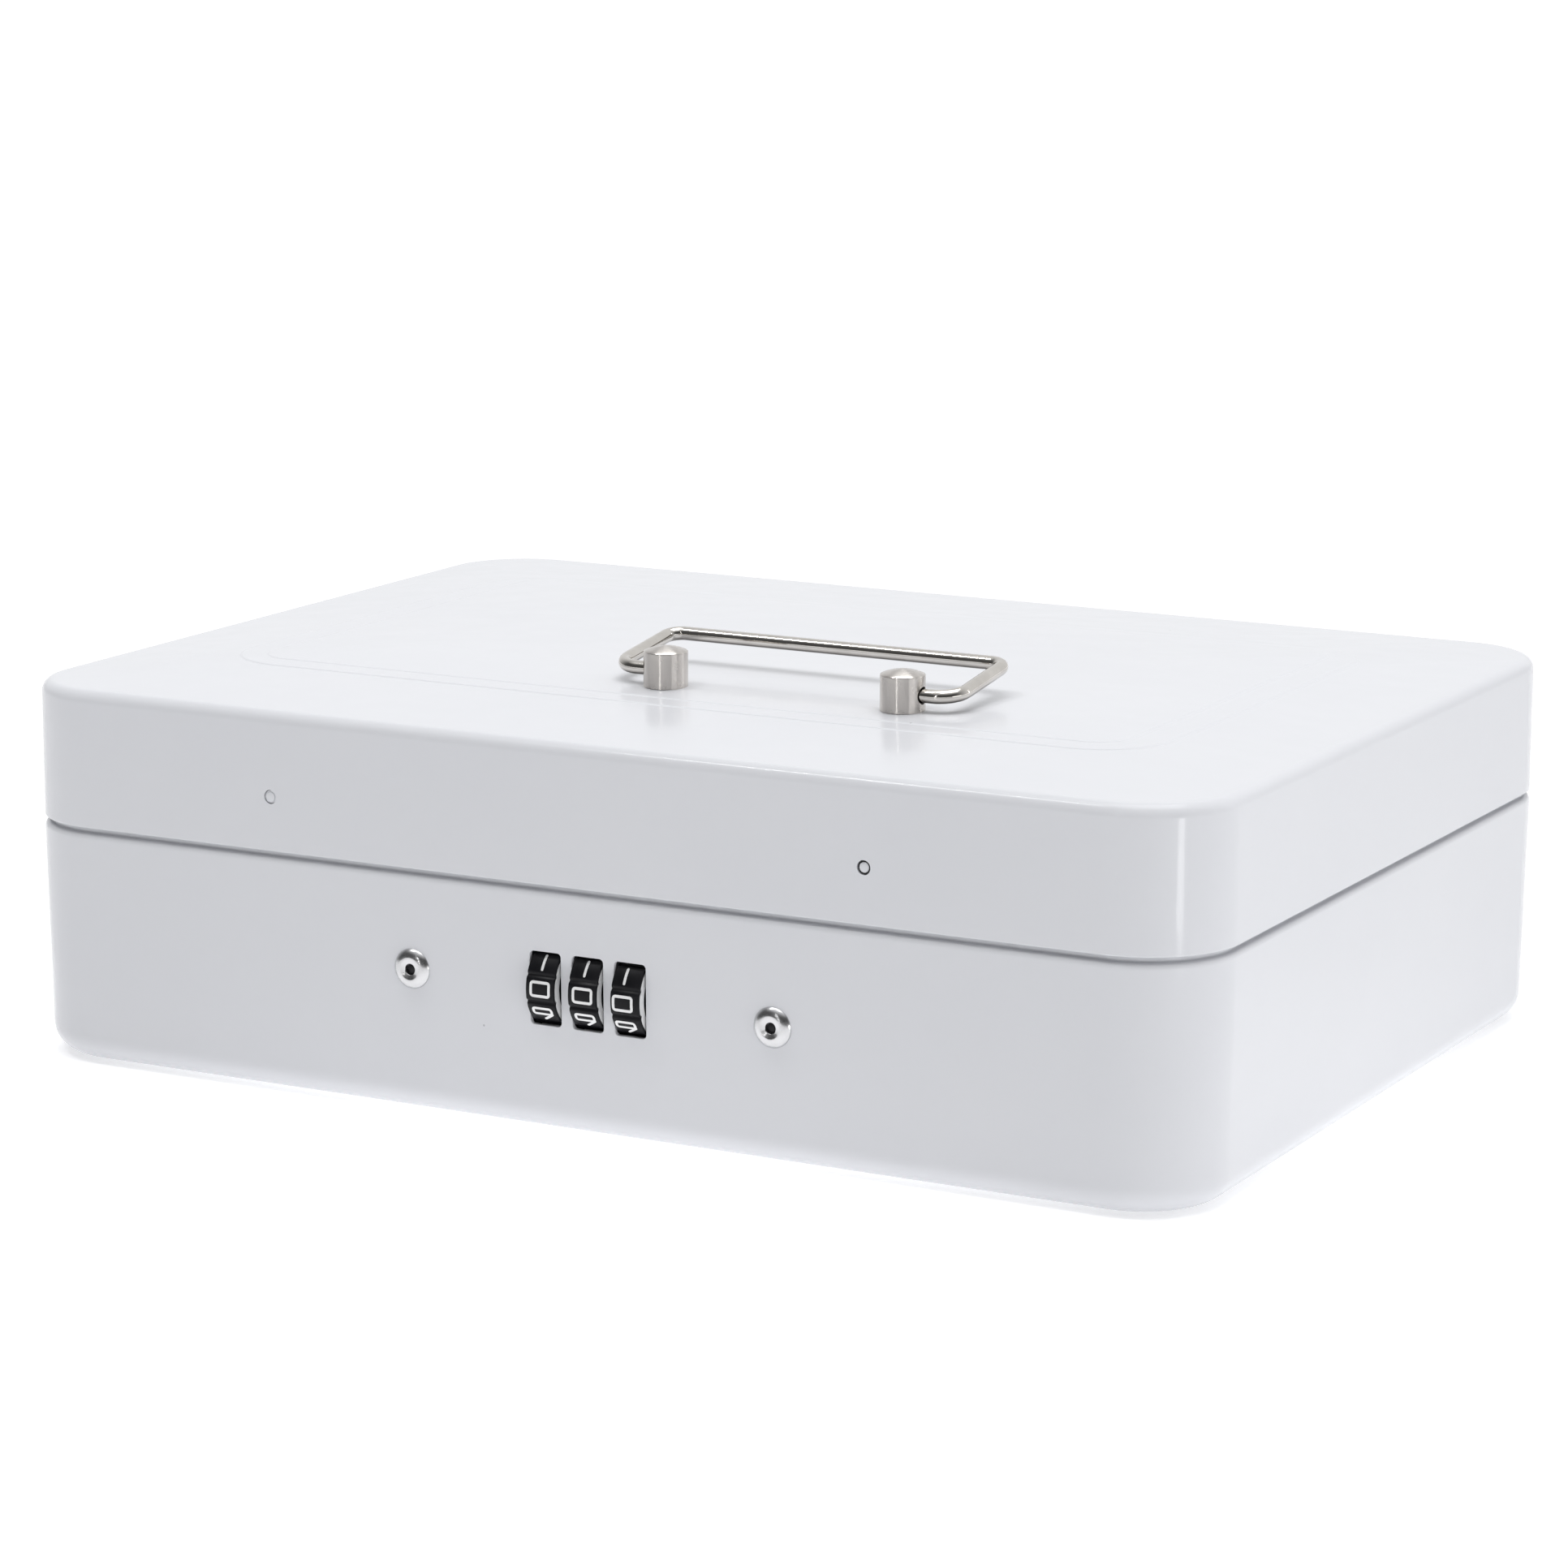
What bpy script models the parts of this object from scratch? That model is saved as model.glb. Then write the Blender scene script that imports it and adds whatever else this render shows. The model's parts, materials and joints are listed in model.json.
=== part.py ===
"""Steel cash box with a three-dial combination lock, a wire bail handle and a lift-out coin tray.

Metres, +Z up. The origin is the middle of the box's flat underside. The dials face -Y and the lid
hinges along the back, at +Y. Every sub-part is one closed solid, and neighbours keep a small gap.
"""
import bpy
import bmesh
from math import cos, sin, pi, radians, sqrt
from mathutils import Matrix, Vector

MM = 0.001

# ---------------------------------------------------------------- driving dimensions
GAP = 0.3 * MM                    # air between neighbouring pieces
SHEET = 1.0 * MM                  # painted steel sheet of the base and the lid

HALF_X = 150 * MM                 # half width of the box
HALF_Y = 109 * MM                 # half depth of the box
PLAN_R = 21.8 * MM                # corner radius seen from above
ARC_STEPS = 8                     # segments in one plan corner

BOTTOM_R = 6.7 * MM               # edge radius around the underside
DRAFT = 0.8 * MM                  # the walls lean in this much towards the underside
SHOULDER_Z = 53.6 * MM            # height at which the base wall starts to turn in
SHOULDER_R = 1.4 * MM
NECK_INSET = 1.8 * MM             # the neck stands this far inside the base wall
NECK_FILLET = 0.4 * MM
NECK_TOP = 63.6 * MM

SKIRT_Z = 56.3 * MM               # lower edge of the lid
LID_EDGE_Z = 88.4 * MM            # top of the lid where its edge radius ends
LID_EDGE_R = 3.0 * MM
PANEL_OUTER = (119.5 * MM, 70.0 * MM, 18.0 * MM, 90.5 * MM)    # half x, half y, corner radius, z
PANEL_INNER = (110.5 * MM, 63.5 * MM, 8.0 * MM, 91.1 * MM)
FIELD_RINGS = ((98.5 * MM, 51.5 * MM, 8.0 * MM, 91.6 * MM), (80.0 * MM, 33.0 * MM, 8.0 * MM, 92.0 * MM))

HINGE_X = 85 * MM                 # the two hinges stand this far each side of the middle
HINGE_Z = 55.3 * MM               # height of the hinge axis
KNUCKLE_R = 2.6 * MM
HINGE_PIN_R = 1.2 * MM
HINGE_LENGTH = 40 * MM
LEAF_HEIGHT = 17 * MM
HINGE_Y = HALF_Y + GAP + KNUCKLE_R

HANDLE_X = 23.9 * MM              # middle of the handle on the lid
HANDLE_Y = -52.7 * MM
POST_SPACING = 60.2 * MM
POST_R = 5.1 * MM
POST_BASE_Z = 92.0 * MM
POST_SIDE = 7.4 * MM              # height of the post's straight side
POST_DOME = 1.3 * MM
SPIGOT_R = 2.2 * MM
WASHER_R = 6.0 * MM
WIRE_R = 1.6 * MM
BAIL_HALF = 43.0 * MM             # half the width between the bail's arms
BAIL_REACH = 26.5 * MM            # from the pivot to the middle of the bail's bar
BAIL_RISE = 7.7                   # degrees above the horizontal when folded back
PIVOT_Z = POST_BASE_Z + 3.1 * MM

LOCK_X = 5.5 * MM                 # middle of the lock
DIAL_Z = 32.9 * MM
DIAL_R = 10.0 * MM
DIAL_WIDTH = 7.1 * MM
DIAL_PITCH = 10.7 * MM
DIAL_PROUD = 2.8 * MM             # how far the dials stand out of the front wall
WINDOW_W = 7.8 * MM
WINDOW_H = 16.6 * MM
DIGITS = 10
NOTCH_DEPTH = 0.45 * MM           # grooves between the numerals
SLEEVE_R = 4.2 * MM
SLEEVE_BORE = 2.3 * MM
FLANGE_R = 9.4 * MM               # the sleeve's light flange covers the dial's right side
FLANGE_THICK = 0.6 * MM
CAM_R = 5.7 * MM
GATE_R = 4.3 * MM                 # how deep the cam gates are cut, from the axis
CAM_THICK = 0.8 * MM
SPINDLE_R = 2.0 * MM
CASE_HALF = 30 * MM               # half width of the lock case
CASE_Z = (17.0 * MM, 51.5 * MM)
CASE_BACK_Y = -84.0 * MM
RIVET_XS = {"left": -39.7 * MM, "right": 51.4 * MM}
RIVET_Z = {"left": 33.4 * MM, "right": 31.2 * MM}     # set a little out of level
SLEEVE_TAIL = 3.4 * MM            # the sleeve runs on this far past the dial's side
SPRING_WIRE_R = 0.3 * MM
PLATE_Z = (44.6 * MM, 45.6 * MM)  # underside and top of the lock slide's plate

LEVER_X = LOCK_X + 18 * MM        # code-change lever
LEVER_Z = 27.0 * MM
LEVER_TRAVEL = 3.0 * MM

TONGUE_X = (LOCK_X - 5 * MM, LOCK_X + 9 * MM)     # hooked tongue hanging from the lid
TONGUE_Y = (-105.5 * MM, -104.5 * MM)
TONGUE_Z = 46.2 * MM
HOOK_DEPTH = 4.0 * MM             # how far the hook's mouth runs into the tongue
HOOK_MOUTH = (47.7 * MM, 50.0 * MM)

STRIKE_RIVETS = (-76.7 * MM, 73.3 * MM)
STRIKE_Z = 68.8 * MM

TRAY_HALF_X = 145.0 * MM
TRAY_Y = (-77.0 * MM, 103.0 * MM)
TRAY_Z = (27.3 * MM, 61.0 * MM)
TRAY_WALL = 2.0 * MM


def wall_inset(z):
    """How far the base's outer wall stands inside the full width at height z."""
    return DRAFT * (SHOULDER_Z - z) / (SHOULDER_Z - BOTTOM_R)


LOCK_FRONT_Y = -(HALF_Y - SHEET - wall_inset(CASE_Z[0]) - GAP)      # front edges of the lock case
DIAL_Y = -(HALF_Y - wall_inset(DIAL_Z)) - DIAL_PROUD + DIAL_R
DIAL_XS = [LOCK_X + i * DIAL_PITCH for i in (-1, 0, 1)]
POST_XS = {"left": HANDLE_X - POST_SPACING / 2, "right": HANDLE_X + POST_SPACING / 2}

# ---------------------------------------------------------------- scene, collections, materials
for old in list(bpy.data.objects):
    bpy.data.objects.remove(old, do_unlink=True)

parts = bpy.data.collections.new("cash_box")
cutters = bpy.data.collections.new("cutters")
bpy.context.scene.collection.children.link(parts)
bpy.context.scene.collection.children.link(cutters)


def material(name, color, roughness, metallic=0.0):
    mat = bpy.data.materials.new(name)
    mat.use_nodes = True
    bsdf = mat.node_tree.nodes["Principled BSDF"]
    bsdf.inputs["Base Color"].default_value = (*color, 1.0)
    bsdf.inputs["Roughness"].default_value = roughness
    bsdf.inputs["Metallic"].default_value = metallic
    return mat


white_paint = material("white_paint", (0.80, 0.81, 0.82), 0.25)
nickel = material("nickel", (0.66, 0.63, 0.58), 0.18, 1.0)
brushed_nickel = material("brushed_nickel", (0.60, 0.57, 0.53), 0.38, 1.0)
aluminium = material("aluminium", (0.80, 0.80, 0.81), 0.22, 1.0)
zinc = material("zinc_plate", (0.62, 0.63, 0.64), 0.40, 1.0)
spring_steel = material("spring_steel", (0.45, 0.45, 0.46), 0.30, 1.0)
dial_black = material("dial_black", (0.02, 0.02, 0.022), 0.35)
cam_white = material("cam_white", (0.75, 0.75, 0.74), 0.45)
tray_black = material("tray_black", (0.03, 0.03, 0.032), 0.50)


# ---------------------------------------------------------------- helpers
def add_object(name, mesh, mat=None, collection=None):
    obj = bpy.data.objects.new(name, mesh)
    (collection or parts).objects.link(obj)
    if mat is not None:
        mesh.materials.append(mat)
    return obj


def mesh_object(name, bm, mat=None, collection=None):
    bmesh.ops.recalc_face_normals(bm, faces=bm.faces)
    mesh = bpy.data.meshes.new(name)
    bm.to_mesh(mesh)
    bm.free()
    return add_object(name, mesh, mat, collection)


def smooth(obj, angle=30):
    obj.data.shade_smooth()
    obj.data.set_sharp_from_angle(angle=radians(angle))
    return obj


def box(name, low, high, mat=None, collection=None):
    low, high = Vector(low), Vector(high)
    bm = bmesh.new()
    bmesh.ops.create_cube(bm, size=1.0)
    size = high - low
    bmesh.ops.scale(bm, vec=size, verts=bm.verts)
    obj = mesh_object(name, bm, mat, collection)
    obj.location = (low + high) / 2
    return obj


AXIS_TURN = {
    "X": Matrix.Rotation(radians(90), 4, "Y"),
    "Y": Matrix.Rotation(radians(-90), 4, "X"),
    "Z": Matrix.Identity(4),
}


def rod(name, axis, centre, radius, length, mat=None, collection=None, sides=24):
    """A cylinder along a world axis."""
    bm = bmesh.new()
    bmesh.ops.create_cone(bm, cap_ends=True, segments=sides, radius1=radius, radius2=radius, depth=length)
    bmesh.ops.transform(bm, matrix=AXIS_TURN[axis], verts=bm.verts)
    obj = mesh_object(name, bm, mat, collection)
    obj.location = centre
    return smooth(obj)


def turned(name, axis, origin, profile, mat, collection=None, sides=28):
    """A turned piece: profile is (radius, distance along the axis), run down its outer side."""
    bm = bmesh.new()
    verts = [bm.verts.new((r, 0.0, h)) for r, h in profile]
    for first, second in zip(verts, verts[1:]):
        bm.edges.new((first, second))
    mesh = bpy.data.meshes.new(name)
    bm.to_mesh(mesh)
    bm.free()
    obj = add_object(name, mesh, mat, collection)
    screw = obj.modifiers.new("Screw", "SCREW")
    screw.steps = sides
    screw.render_steps = sides
    screw.use_merge_vertices = True
    screw.merge_threshold = 0.00001
    bake(obj)
    obj.data.transform(AXIS_TURN[axis])
    obj.location = origin
    return smooth(obj)


def plate(name, plane, outline, start, end, mat=None, collection=None):
    """A flat outline, as a filled 2D curve, made thick from start to end along the plane's normal."""
    curve = bpy.data.curves.new(name, "CURVE")
    curve.dimensions = "2D"
    curve.fill_mode = "BOTH"
    curve.extrude = abs(end - start) / 2
    spline = curve.splines.new("POLY")
    spline.points.add(len(outline) - 1)
    for point, (u, v) in zip(spline.points, outline):
        point.co = (u, v, 0.0, 1.0)
    spline.use_cyclic_u = True
    obj = bpy.data.objects.new(name, curve)
    (collection or parts).objects.link(obj)
    middle = (start + end) / 2
    if plane == "XY":
        obj.matrix_world = Matrix.Translation((0, 0, middle))
    elif plane == "XZ":
        obj.matrix_world = Matrix.Translation((0, middle, 0)) @ Matrix.Rotation(radians(90), 4, "X")
    else:
        turn = Matrix(((0, 0, 1, 0), (1, 0, 0, 0), (0, 1, 0, 0), (0, 0, 0, 1)))
        obj.matrix_world = Matrix.Translation((middle, 0, 0)) @ turn
    return curve_to_mesh(obj, mat)


def curve_to_mesh(obj, mat):
    """Replace a curve object by the mesh it draws, with its caps welded on."""
    bpy.context.view_layer.update()
    graph = bpy.context.evaluated_depsgraph_get()
    mesh = bpy.data.meshes.new_from_object(obj.evaluated_get(graph))
    name, place, collection = obj.name, obj.matrix_world.copy(), obj.users_collection[0]
    bm = bmesh.new()
    bm.from_mesh(mesh)
    bmesh.ops.remove_doubles(bm, verts=bm.verts, dist=0.000001)
    bmesh.ops.recalc_face_normals(bm, faces=bm.faces)
    bm.to_mesh(mesh)
    bm.free()
    bpy.data.objects.remove(obj, do_unlink=True)
    mesh.materials.clear()
    made = add_object(name, mesh, mat, collection)
    made.matrix_world = place
    return made


def wire(name, points, radius, mat, sides=12):
    """A round wire along a list of points, with flat ends."""
    curve = bpy.data.curves.new(name, "CURVE")
    curve.dimensions = "3D"
    curve.bevel_depth = radius
    curve.bevel_resolution = sides // 2 - 2
    curve.use_fill_caps = True
    spline = curve.splines.new("POLY")
    spline.points.add(len(points) - 1)
    for point, place in zip(spline.points, points):
        point.co = (*place, 1.0)
    obj = bpy.data.objects.new(name, curve)
    parts.objects.link(obj)
    return smooth(curve_to_mesh(obj, mat), 40)


def coil(name, start, length, radius, wire_r, turns, mat, steps=12):
    """A helical spring along +X from start."""
    count = turns * steps
    points = []
    for i in range(count + 1):
        angle = 2 * pi * i / steps
        x = start[0] + length * i / count
        points.append((x, start[1] + radius * cos(angle), start[2] + radius * sin(angle)))
    return wire(name, points, wire_r, mat, sides=8)


def bake(obj):
    """Apply the object's modifiers to its mesh."""
    bpy.context.view_layer.update()
    graph = bpy.context.evaluated_depsgraph_get()
    mesh = bpy.data.meshes.new_from_object(obj.evaluated_get(graph))
    obj.modifiers.clear()
    obj.data = mesh


def boolean(target, tools, operation):
    for tool in tools:
        modifier = target.modifiers.new(operation.title(), "BOOLEAN")
        modifier.operation = operation
        modifier.solver = "EXACT"
        modifier.object = tool
    bake(target)
    for tool in tools:
        bpy.data.objects.remove(tool, do_unlink=True)
    return target


def cut(target, *tools):
    return boolean(target, tools, "DIFFERENCE")


def join(target, *tools):
    return boolean(target, tools, "UNION")


def arc(cx, cy, radius, start, stop, steps):
    """Points on an arc, in degrees, both ends included."""
    angles = [radians(start + (stop - start) * i / steps) for i in range(steps + 1)]
    return [(cx + radius * cos(a), cy + radius * sin(a)) for a in angles]


def rounded_rectangle(half_x, half_y, radius, steps=ARC_STEPS):
    """Outline of a rectangle with round corners, anticlockwise."""
    points = []
    for sx, sy, start in ((1, 1, 0), (-1, 1, 90), (-1, -1, 180), (1, -1, 270)):
        points += arc(sx * (half_x - radius), sy * (half_y - radius), radius, start, start + 90, steps)
    return points


def drawn_shell(name, rings, mat):
    """A drawn sheet shell: closed by the first ring, open at the last, SHEET thick to the inside."""
    bm = bmesh.new()
    loops = []
    for half_x, half_y, radius, z in rings:
        loops.append([bm.verts.new((x, y, z)) for x, y in rounded_rectangle(half_x, half_y, radius)])
    for lower, upper in zip(loops, loops[1:]):
        for i in range(len(lower)):
            j = (i + 1) % len(lower)
            bm.faces.new((lower[i], lower[j], upper[j], upper[i]))
    bm.faces.new(loops[0])
    bmesh.ops.recalc_face_normals(bm, faces=bm.faces)
    obj = mesh_object(name, bm, mat)
    centre_face = max(obj.data.polygons, key=lambda face: face.area)
    outward = -1 if rings[0][3] < rings[-1][3] else 1
    if centre_face.normal.z * outward < 0:
        obj.data.flip_normals()
    solidify = obj.modifiers.new("Solidify", "SOLIDIFY")
    solidify.thickness = SHEET
    solidify.offset = -1
    solidify.use_even_offset = True
    solidify.use_rim = True
    bake(obj)
    return obj


# ---------------------------------------------------------------- base and lid
def inset_ring(inset, z):
    return (HALF_X - inset, HALF_Y - inset, PLAN_R - inset, z)


def base_shell():
    edge = arc(DRAFT + BOTTOM_R, BOTTOM_R, BOTTOM_R, 270, 180, 5)
    shoulder = arc(SHOULDER_R, SHOULDER_Z, SHOULDER_R, 180, 90, 3)
    neck = arc(NECK_INSET - NECK_FILLET, SHOULDER_Z + SHOULDER_R + NECK_FILLET, NECK_FILLET, 270, 360, 2)
    profile = edge + shoulder + neck + [(NECK_INSET, NECK_TOP)]
    shell = drawn_shell("base_shell", [inset_ring(inset, z) for inset, z in profile], white_paint)
    front = -(HALF_Y - wall_inset(DIAL_Z) - SHEET / 2)
    tools = []
    for i, x in enumerate(DIAL_XS):
        low = (x - WINDOW_W / 2, front - 5 * MM, DIAL_Z - WINDOW_H / 2)
        high = (x + WINDOW_W / 2, front + 5 * MM, DIAL_Z + WINDOW_H / 2)
        tools.append(box(f"window_cutter_{i}", low, high, None, cutters))
    for side, x in RIVET_XS.items():
        centre = (x, front, RIVET_Z[side])
        tools.append(rod(f"rivet_hole_{side}", "Y", centre, 2.7 * MM, 10 * MM, None, cutters, 20))
    return smooth(cut(shell, *tools))


def lid_shell():
    edge = arc(LID_EDGE_R, LID_EDGE_Z - LID_EDGE_R, LID_EDGE_R, 90, 180, 4)
    rings = list(FIELD_RINGS[::-1]) + [PANEL_INNER, PANEL_OUTER]
    rings += [inset_ring(inset, z) for inset, z in edge + [(0.0, SKIRT_Z)]]
    shell = drawn_shell("lid_shell", rings, white_paint)
    tools = []
    for side, x in POST_XS.items():
        centre = (x, HANDLE_Y, POST_BASE_Z)
        tools.append(rod(f"spigot_hole_{side}", "Z", centre, SPIGOT_R + GAP, 12 * MM, None, cutters, 20))
    for i, x in enumerate(STRIKE_RIVETS):
        centre = (x, -HALF_Y, STRIKE_Z)
        tools.append(rod(f"strike_hole_{i}", "Y", centre, 1.8 * MM, 8 * MM, None, cutters, 16))
    return smooth(cut(shell, *tools))


# ---------------------------------------------------------------- hinges
def hinge_leaf(name, x, direction, knuckles):
    """One leaf: a plate below (-1) or above (+1) the axis and the knuckles it carries."""
    inner = HALF_Y + GAP
    clear = KNUCKLE_R + GAP
    near, far = HINGE_Z + direction * clear, HINGE_Z + direction * LEAF_HEIGHT
    half = HINGE_LENGTH / 2
    leaf = box(name, (x - half, inner, min(near, far)), (x + half, inner + SHEET, max(near, far)), zinc)
    pieces = []
    bores = []
    for i, (start, end) in enumerate(knuckles):
        low, high = sorted((HINGE_Z, near + direction * 1.0 * MM))
        tab = box(f"{name}_tab_{i}", (x + start, inner, low), (x + end, inner + SHEET, high), None, cutters)
        centre = (x + (start + end) / 2, HINGE_Y, HINGE_Z)
        barrel = rod(f"{name}_barrel_{i}", "X", centre, KNUCKLE_R, end - start, None, cutters, 20)
        pieces += [tab, barrel]
        bore_length = end - start + 2 * MM
        bores.append(rod(f"{name}_bore_{i}", "X", centre, HINGE_PIN_R + GAP, bore_length, None, cutters, 16))
    join(leaf, *pieces)
    return smooth(cut(leaf, *bores), 25)


def hinges():
    half, third = HINGE_LENGTH / 2, HINGE_LENGTH / 6
    for side, x in (("left", -HINGE_X), ("right", HINGE_X)):
        hinge_leaf(f"hinge_base_leaf_{side}", x, -1, ((-half, -third - GAP), (third + GAP, half)))
        hinge_leaf(f"hinge_lid_leaf_{side}", x, 1, ((-third, third),))
        centre = (x, HINGE_Y, HINGE_Z)
        rod(f"hinge_pin_{side}", "X", centre, HINGE_PIN_R, HINGE_LENGTH, spring_steel, sides=16)


# ---------------------------------------------------------------- handle
def handle_post(side):
    """A domed post with a riveted tail; the bail's end runs in a blind hole in its outer side."""
    seat = 90.2 * MM - POST_BASE_Z            # top of the washer under the lid, from the post's foot
    head_top = seat - 1.0 * MM - GAP
    top = POST_SIDE
    dome = [(POST_R * share, top + POST_DOME * (1 - share ** 2)) for share in (0.0, 0.35, 0.7)]
    sides = [(POST_R, top), (POST_R, 0.0), (SPIGOT_R, 0.0), (SPIGOT_R, head_top)]
    tail = [(3.6 * MM, head_top), (3.2 * MM, head_top - 0.7 * MM), (1.6 * MM, head_top - 1.2 * MM)]
    profile = dome + sides + tail + [(0.0, head_top - 1.3 * MM)]
    x = POST_XS[side]
    post = turned(f"handle_post_{side}", "Z", (x, HANDLE_Y, POST_BASE_Z), profile, brushed_nickel)
    outward = -1 if side == "left" else 1
    hole_start = x - outward * 2.6 * MM
    hole_end = x + outward * (POST_R + 3 * MM)
    centre = ((hole_start + hole_end) / 2, HANDLE_Y, PIVOT_Z)
    hole = rod(f"bail_hole_{side}", "X", centre, WIRE_R + 0.4 * MM, abs(hole_end - hole_start), None, cutters)
    return smooth(cut(post, hole))


def handle_bail():
    bend, corner = 5.5 * MM, 3.6 * MM
    end = POST_SPACING / 2 - 2.2 * MM
    flat = [(-end, 0.0)]
    flat += arc(-BAIL_HALF + bend, bend, bend, 270, 180, 6)
    flat += arc(-BAIL_HALF + corner, BAIL_REACH - corner, corner, 180, 90, 6)
    flat += arc(BAIL_HALF - corner, BAIL_REACH - corner, corner, 90, 0, 6)
    flat += arc(BAIL_HALF - bend, bend, bend, 0, -90, 6)
    flat += [(end, 0.0)]
    rise = radians(BAIL_RISE)
    points = [(x, reach * cos(rise), reach * sin(rise)) for x, reach in flat]
    bail = wire("handle_bail", points, WIRE_R, nickel)
    bail.location = (HANDLE_X, HANDLE_Y, PIVOT_Z)
    return bail


def ring(name, axis, centre, outer, inner, length, mat, sides=24):
    half = length / 2
    profile = [(inner, half), (outer, half), (outer, -half), (inner, -half), (inner, half)]
    return turned(name, axis, centre, profile, mat, sides=sides)


def handle():
    for side, x in POST_XS.items():
        handle_post(side)
        centre = (x, HANDLE_Y, 89.7 * MM)
        ring(f"post_washer_{side}", "Z", centre, WASHER_R, SPIGOT_R + GAP, 1.0 * MM, zinc)
    handle_bail()


# ---------------------------------------------------------------- strike on the lid
def lid_strike():
    """A strip across the inside of the lid's front skirt, with a hooked tongue hanging into the lock."""
    skirt = -(HALF_Y - SHEET - GAP)
    low, high = STRIKE_Z - 3.8 * MM, STRIKE_Z + 5.2 * MM
    strip = box("lid_strike", (-83 * MM, skirt, low), (80 * MM, skirt + SHEET, high), zinc)
    root, shelf = skirt + SHEET / 2, low + 0.5 * MM
    outline = [(root, shelf), (root, shelf + SHEET), (TONGUE_Y[1], shelf + SHEET), (TONGUE_Y[1], TONGUE_Z)]
    outline += [(TONGUE_Y[0], TONGUE_Z), (TONGUE_Y[0], shelf)]
    tongue = plate("strike_tongue", "YZ", outline, TONGUE_X[0], TONGUE_X[1], None, cutters)
    join(strip, tongue)
    mouth_low = (TONGUE_X[0] - 2 * MM, TONGUE_Y[0] - 1 * MM, HOOK_MOUTH[0])
    mouth_high = (TONGUE_X[0] + HOOK_DEPTH, TONGUE_Y[1] + 1 * MM, HOOK_MOUTH[1])
    cut(strip, box("hook_mouth", mouth_low, mouth_high, None, cutters))
    holes = []
    for i, x in enumerate(STRIKE_RIVETS):
        centre = (x, skirt, STRIKE_Z)
        holes.append(rod(f"strip_hole_{i}", "Y", centre, 1.8 * MM, 6 * MM, None, cutters, 16))
    cut(strip, *holes)
    for side, x in zip(("left", "right"), STRIKE_RIVETS):
        strike_rivet(side, x, skirt)


def strike_rivet(side, x, skirt):
    """A small rivet, flush outside in the skirt and headed behind the strip."""
    back = skirt + SHEET + GAP
    face = -HALF_Y + 0.1 * MM
    depth = back - face
    profile = [(0.0, depth + 1.2 * MM), (1.6 * MM, depth + 1.0 * MM), (2.6 * MM, depth + 0.4 * MM)]
    profile += [(2.6 * MM, depth), (1.5 * MM, depth), (1.5 * MM, 0.0), (0.0, 0.0)]
    turned(f"strike_rivet_{side}", "Y", (x, face, STRIKE_Z), profile, white_paint, sides=18)


# ---------------------------------------------------------------- lock case and its fixings
def lock_case():
    """A folded case, open at the front, with a flange each side for the blind rivets."""
    x0, x1 = LOCK_X - CASE_HALF, LOCK_X + CASE_HALF
    z0, z1 = CASE_Z
    case = box("lock_case", (x0, LOCK_FRONT_Y, z0), (x1, CASE_BACK_Y, z1), zinc)
    inner_low = (x0 + SHEET, LOCK_FRONT_Y - 5 * MM, z0 + SHEET)
    inner_high = (x1 - SHEET, CASE_BACK_Y - SHEET, z1 - SHEET)
    cut(case, box("case_hollow", inner_low, inner_high, None, cutters))
    flanges = []
    tools = []
    for side, x in RIVET_XS.items():
        outward = 1 if x > LOCK_X else -1
        near, far = LOCK_X + outward * (CASE_HALF - 0.5 * MM), x + outward * 6 * MM
        low = (min(near, far), LOCK_FRONT_Y, RIVET_Z[side] - 11 * MM)
        high = (max(near, far), LOCK_FRONT_Y + SHEET, RIVET_Z[side] + 11 * MM)
        flanges.append(box(f"flange_{side}", low, high, None, cutters))
        centre = (x, LOCK_FRONT_Y, RIVET_Z[side])
        tools.append(rod(f"flange_hole_{side}", "Y", centre, 2.7 * MM, 6 * MM, None, cutters, 20))
    join(case, *flanges)
    spindle_centre = (LOCK_X, DIAL_Y, DIAL_Z)
    tools.append(rod("spindle_hole", "X", spindle_centre, SLEEVE_BORE, 2.2 * CASE_HALF, None, cutters, 20))
    slot_low = (TONGUE_X[0] - 4.6 * MM, LOCK_FRONT_Y + 0.9 * MM, z1 - 3 * MM)
    slot_high = (TONGUE_X[1] + 1.0 * MM, TONGUE_Y[1] + 1.3 * MM, z1 + 3 * MM)
    tools.append(box("tongue_slot", slot_low, slot_high, None, cutters))
    x, z = LEVER_X, LEVER_Z
    lever_low = (x - 1.8 * MM, CASE_BACK_Y - 3 * MM, z - 1.8 * MM)
    lever_high = (x + 1.8 * MM + LEVER_TRAVEL, CASE_BACK_Y + 3 * MM, z + 1.8 * MM)
    tools.append(box("lever_slot", lever_low, lever_high, None, cutters))
    return cut(case, *tools)


def blind_rivet(side):
    """A domed blind rivet: flange outside, mandrel hole in its middle, set head behind the flange."""
    face = -(HALF_Y - wall_inset(RIVET_Z[side] + 4.6 * MM)) - 0.1 * MM
    depth = LOCK_FRONT_Y + SHEET + GAP - face
    hole = 1.35 * MM
    tail = [(hole, depth + 4.0 * MM), (2.4 * MM, depth + 4.0 * MM), (3.3 * MM, depth + 3.0 * MM)]
    shank = [(3.3 * MM, depth + 0.8 * MM), (2.9 * MM, depth), (2.4 * MM, depth), (2.4 * MM, 0.0)]
    dome = [(4.6 * MM, 0.0), (4.5 * MM, -0.3 * MM), (3.6 * MM, -0.85 * MM), (2.4 * MM, -1.15 * MM)]
    dome += [(1.7 * MM, -1.1 * MM), (hole, -0.8 * MM)]
    floor = [(hole, -0.2 * MM), (0.0, -0.2 * MM)]
    bore = [(0.0, depth + 1.0 * MM), (hole, depth + 1.0 * MM)]
    profile = bore + tail + shank + dome + floor
    turned(f"blind_rivet_{side}", "Y", (RIVET_XS[side], face, RIVET_Z[side]), profile, aluminium)


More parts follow.
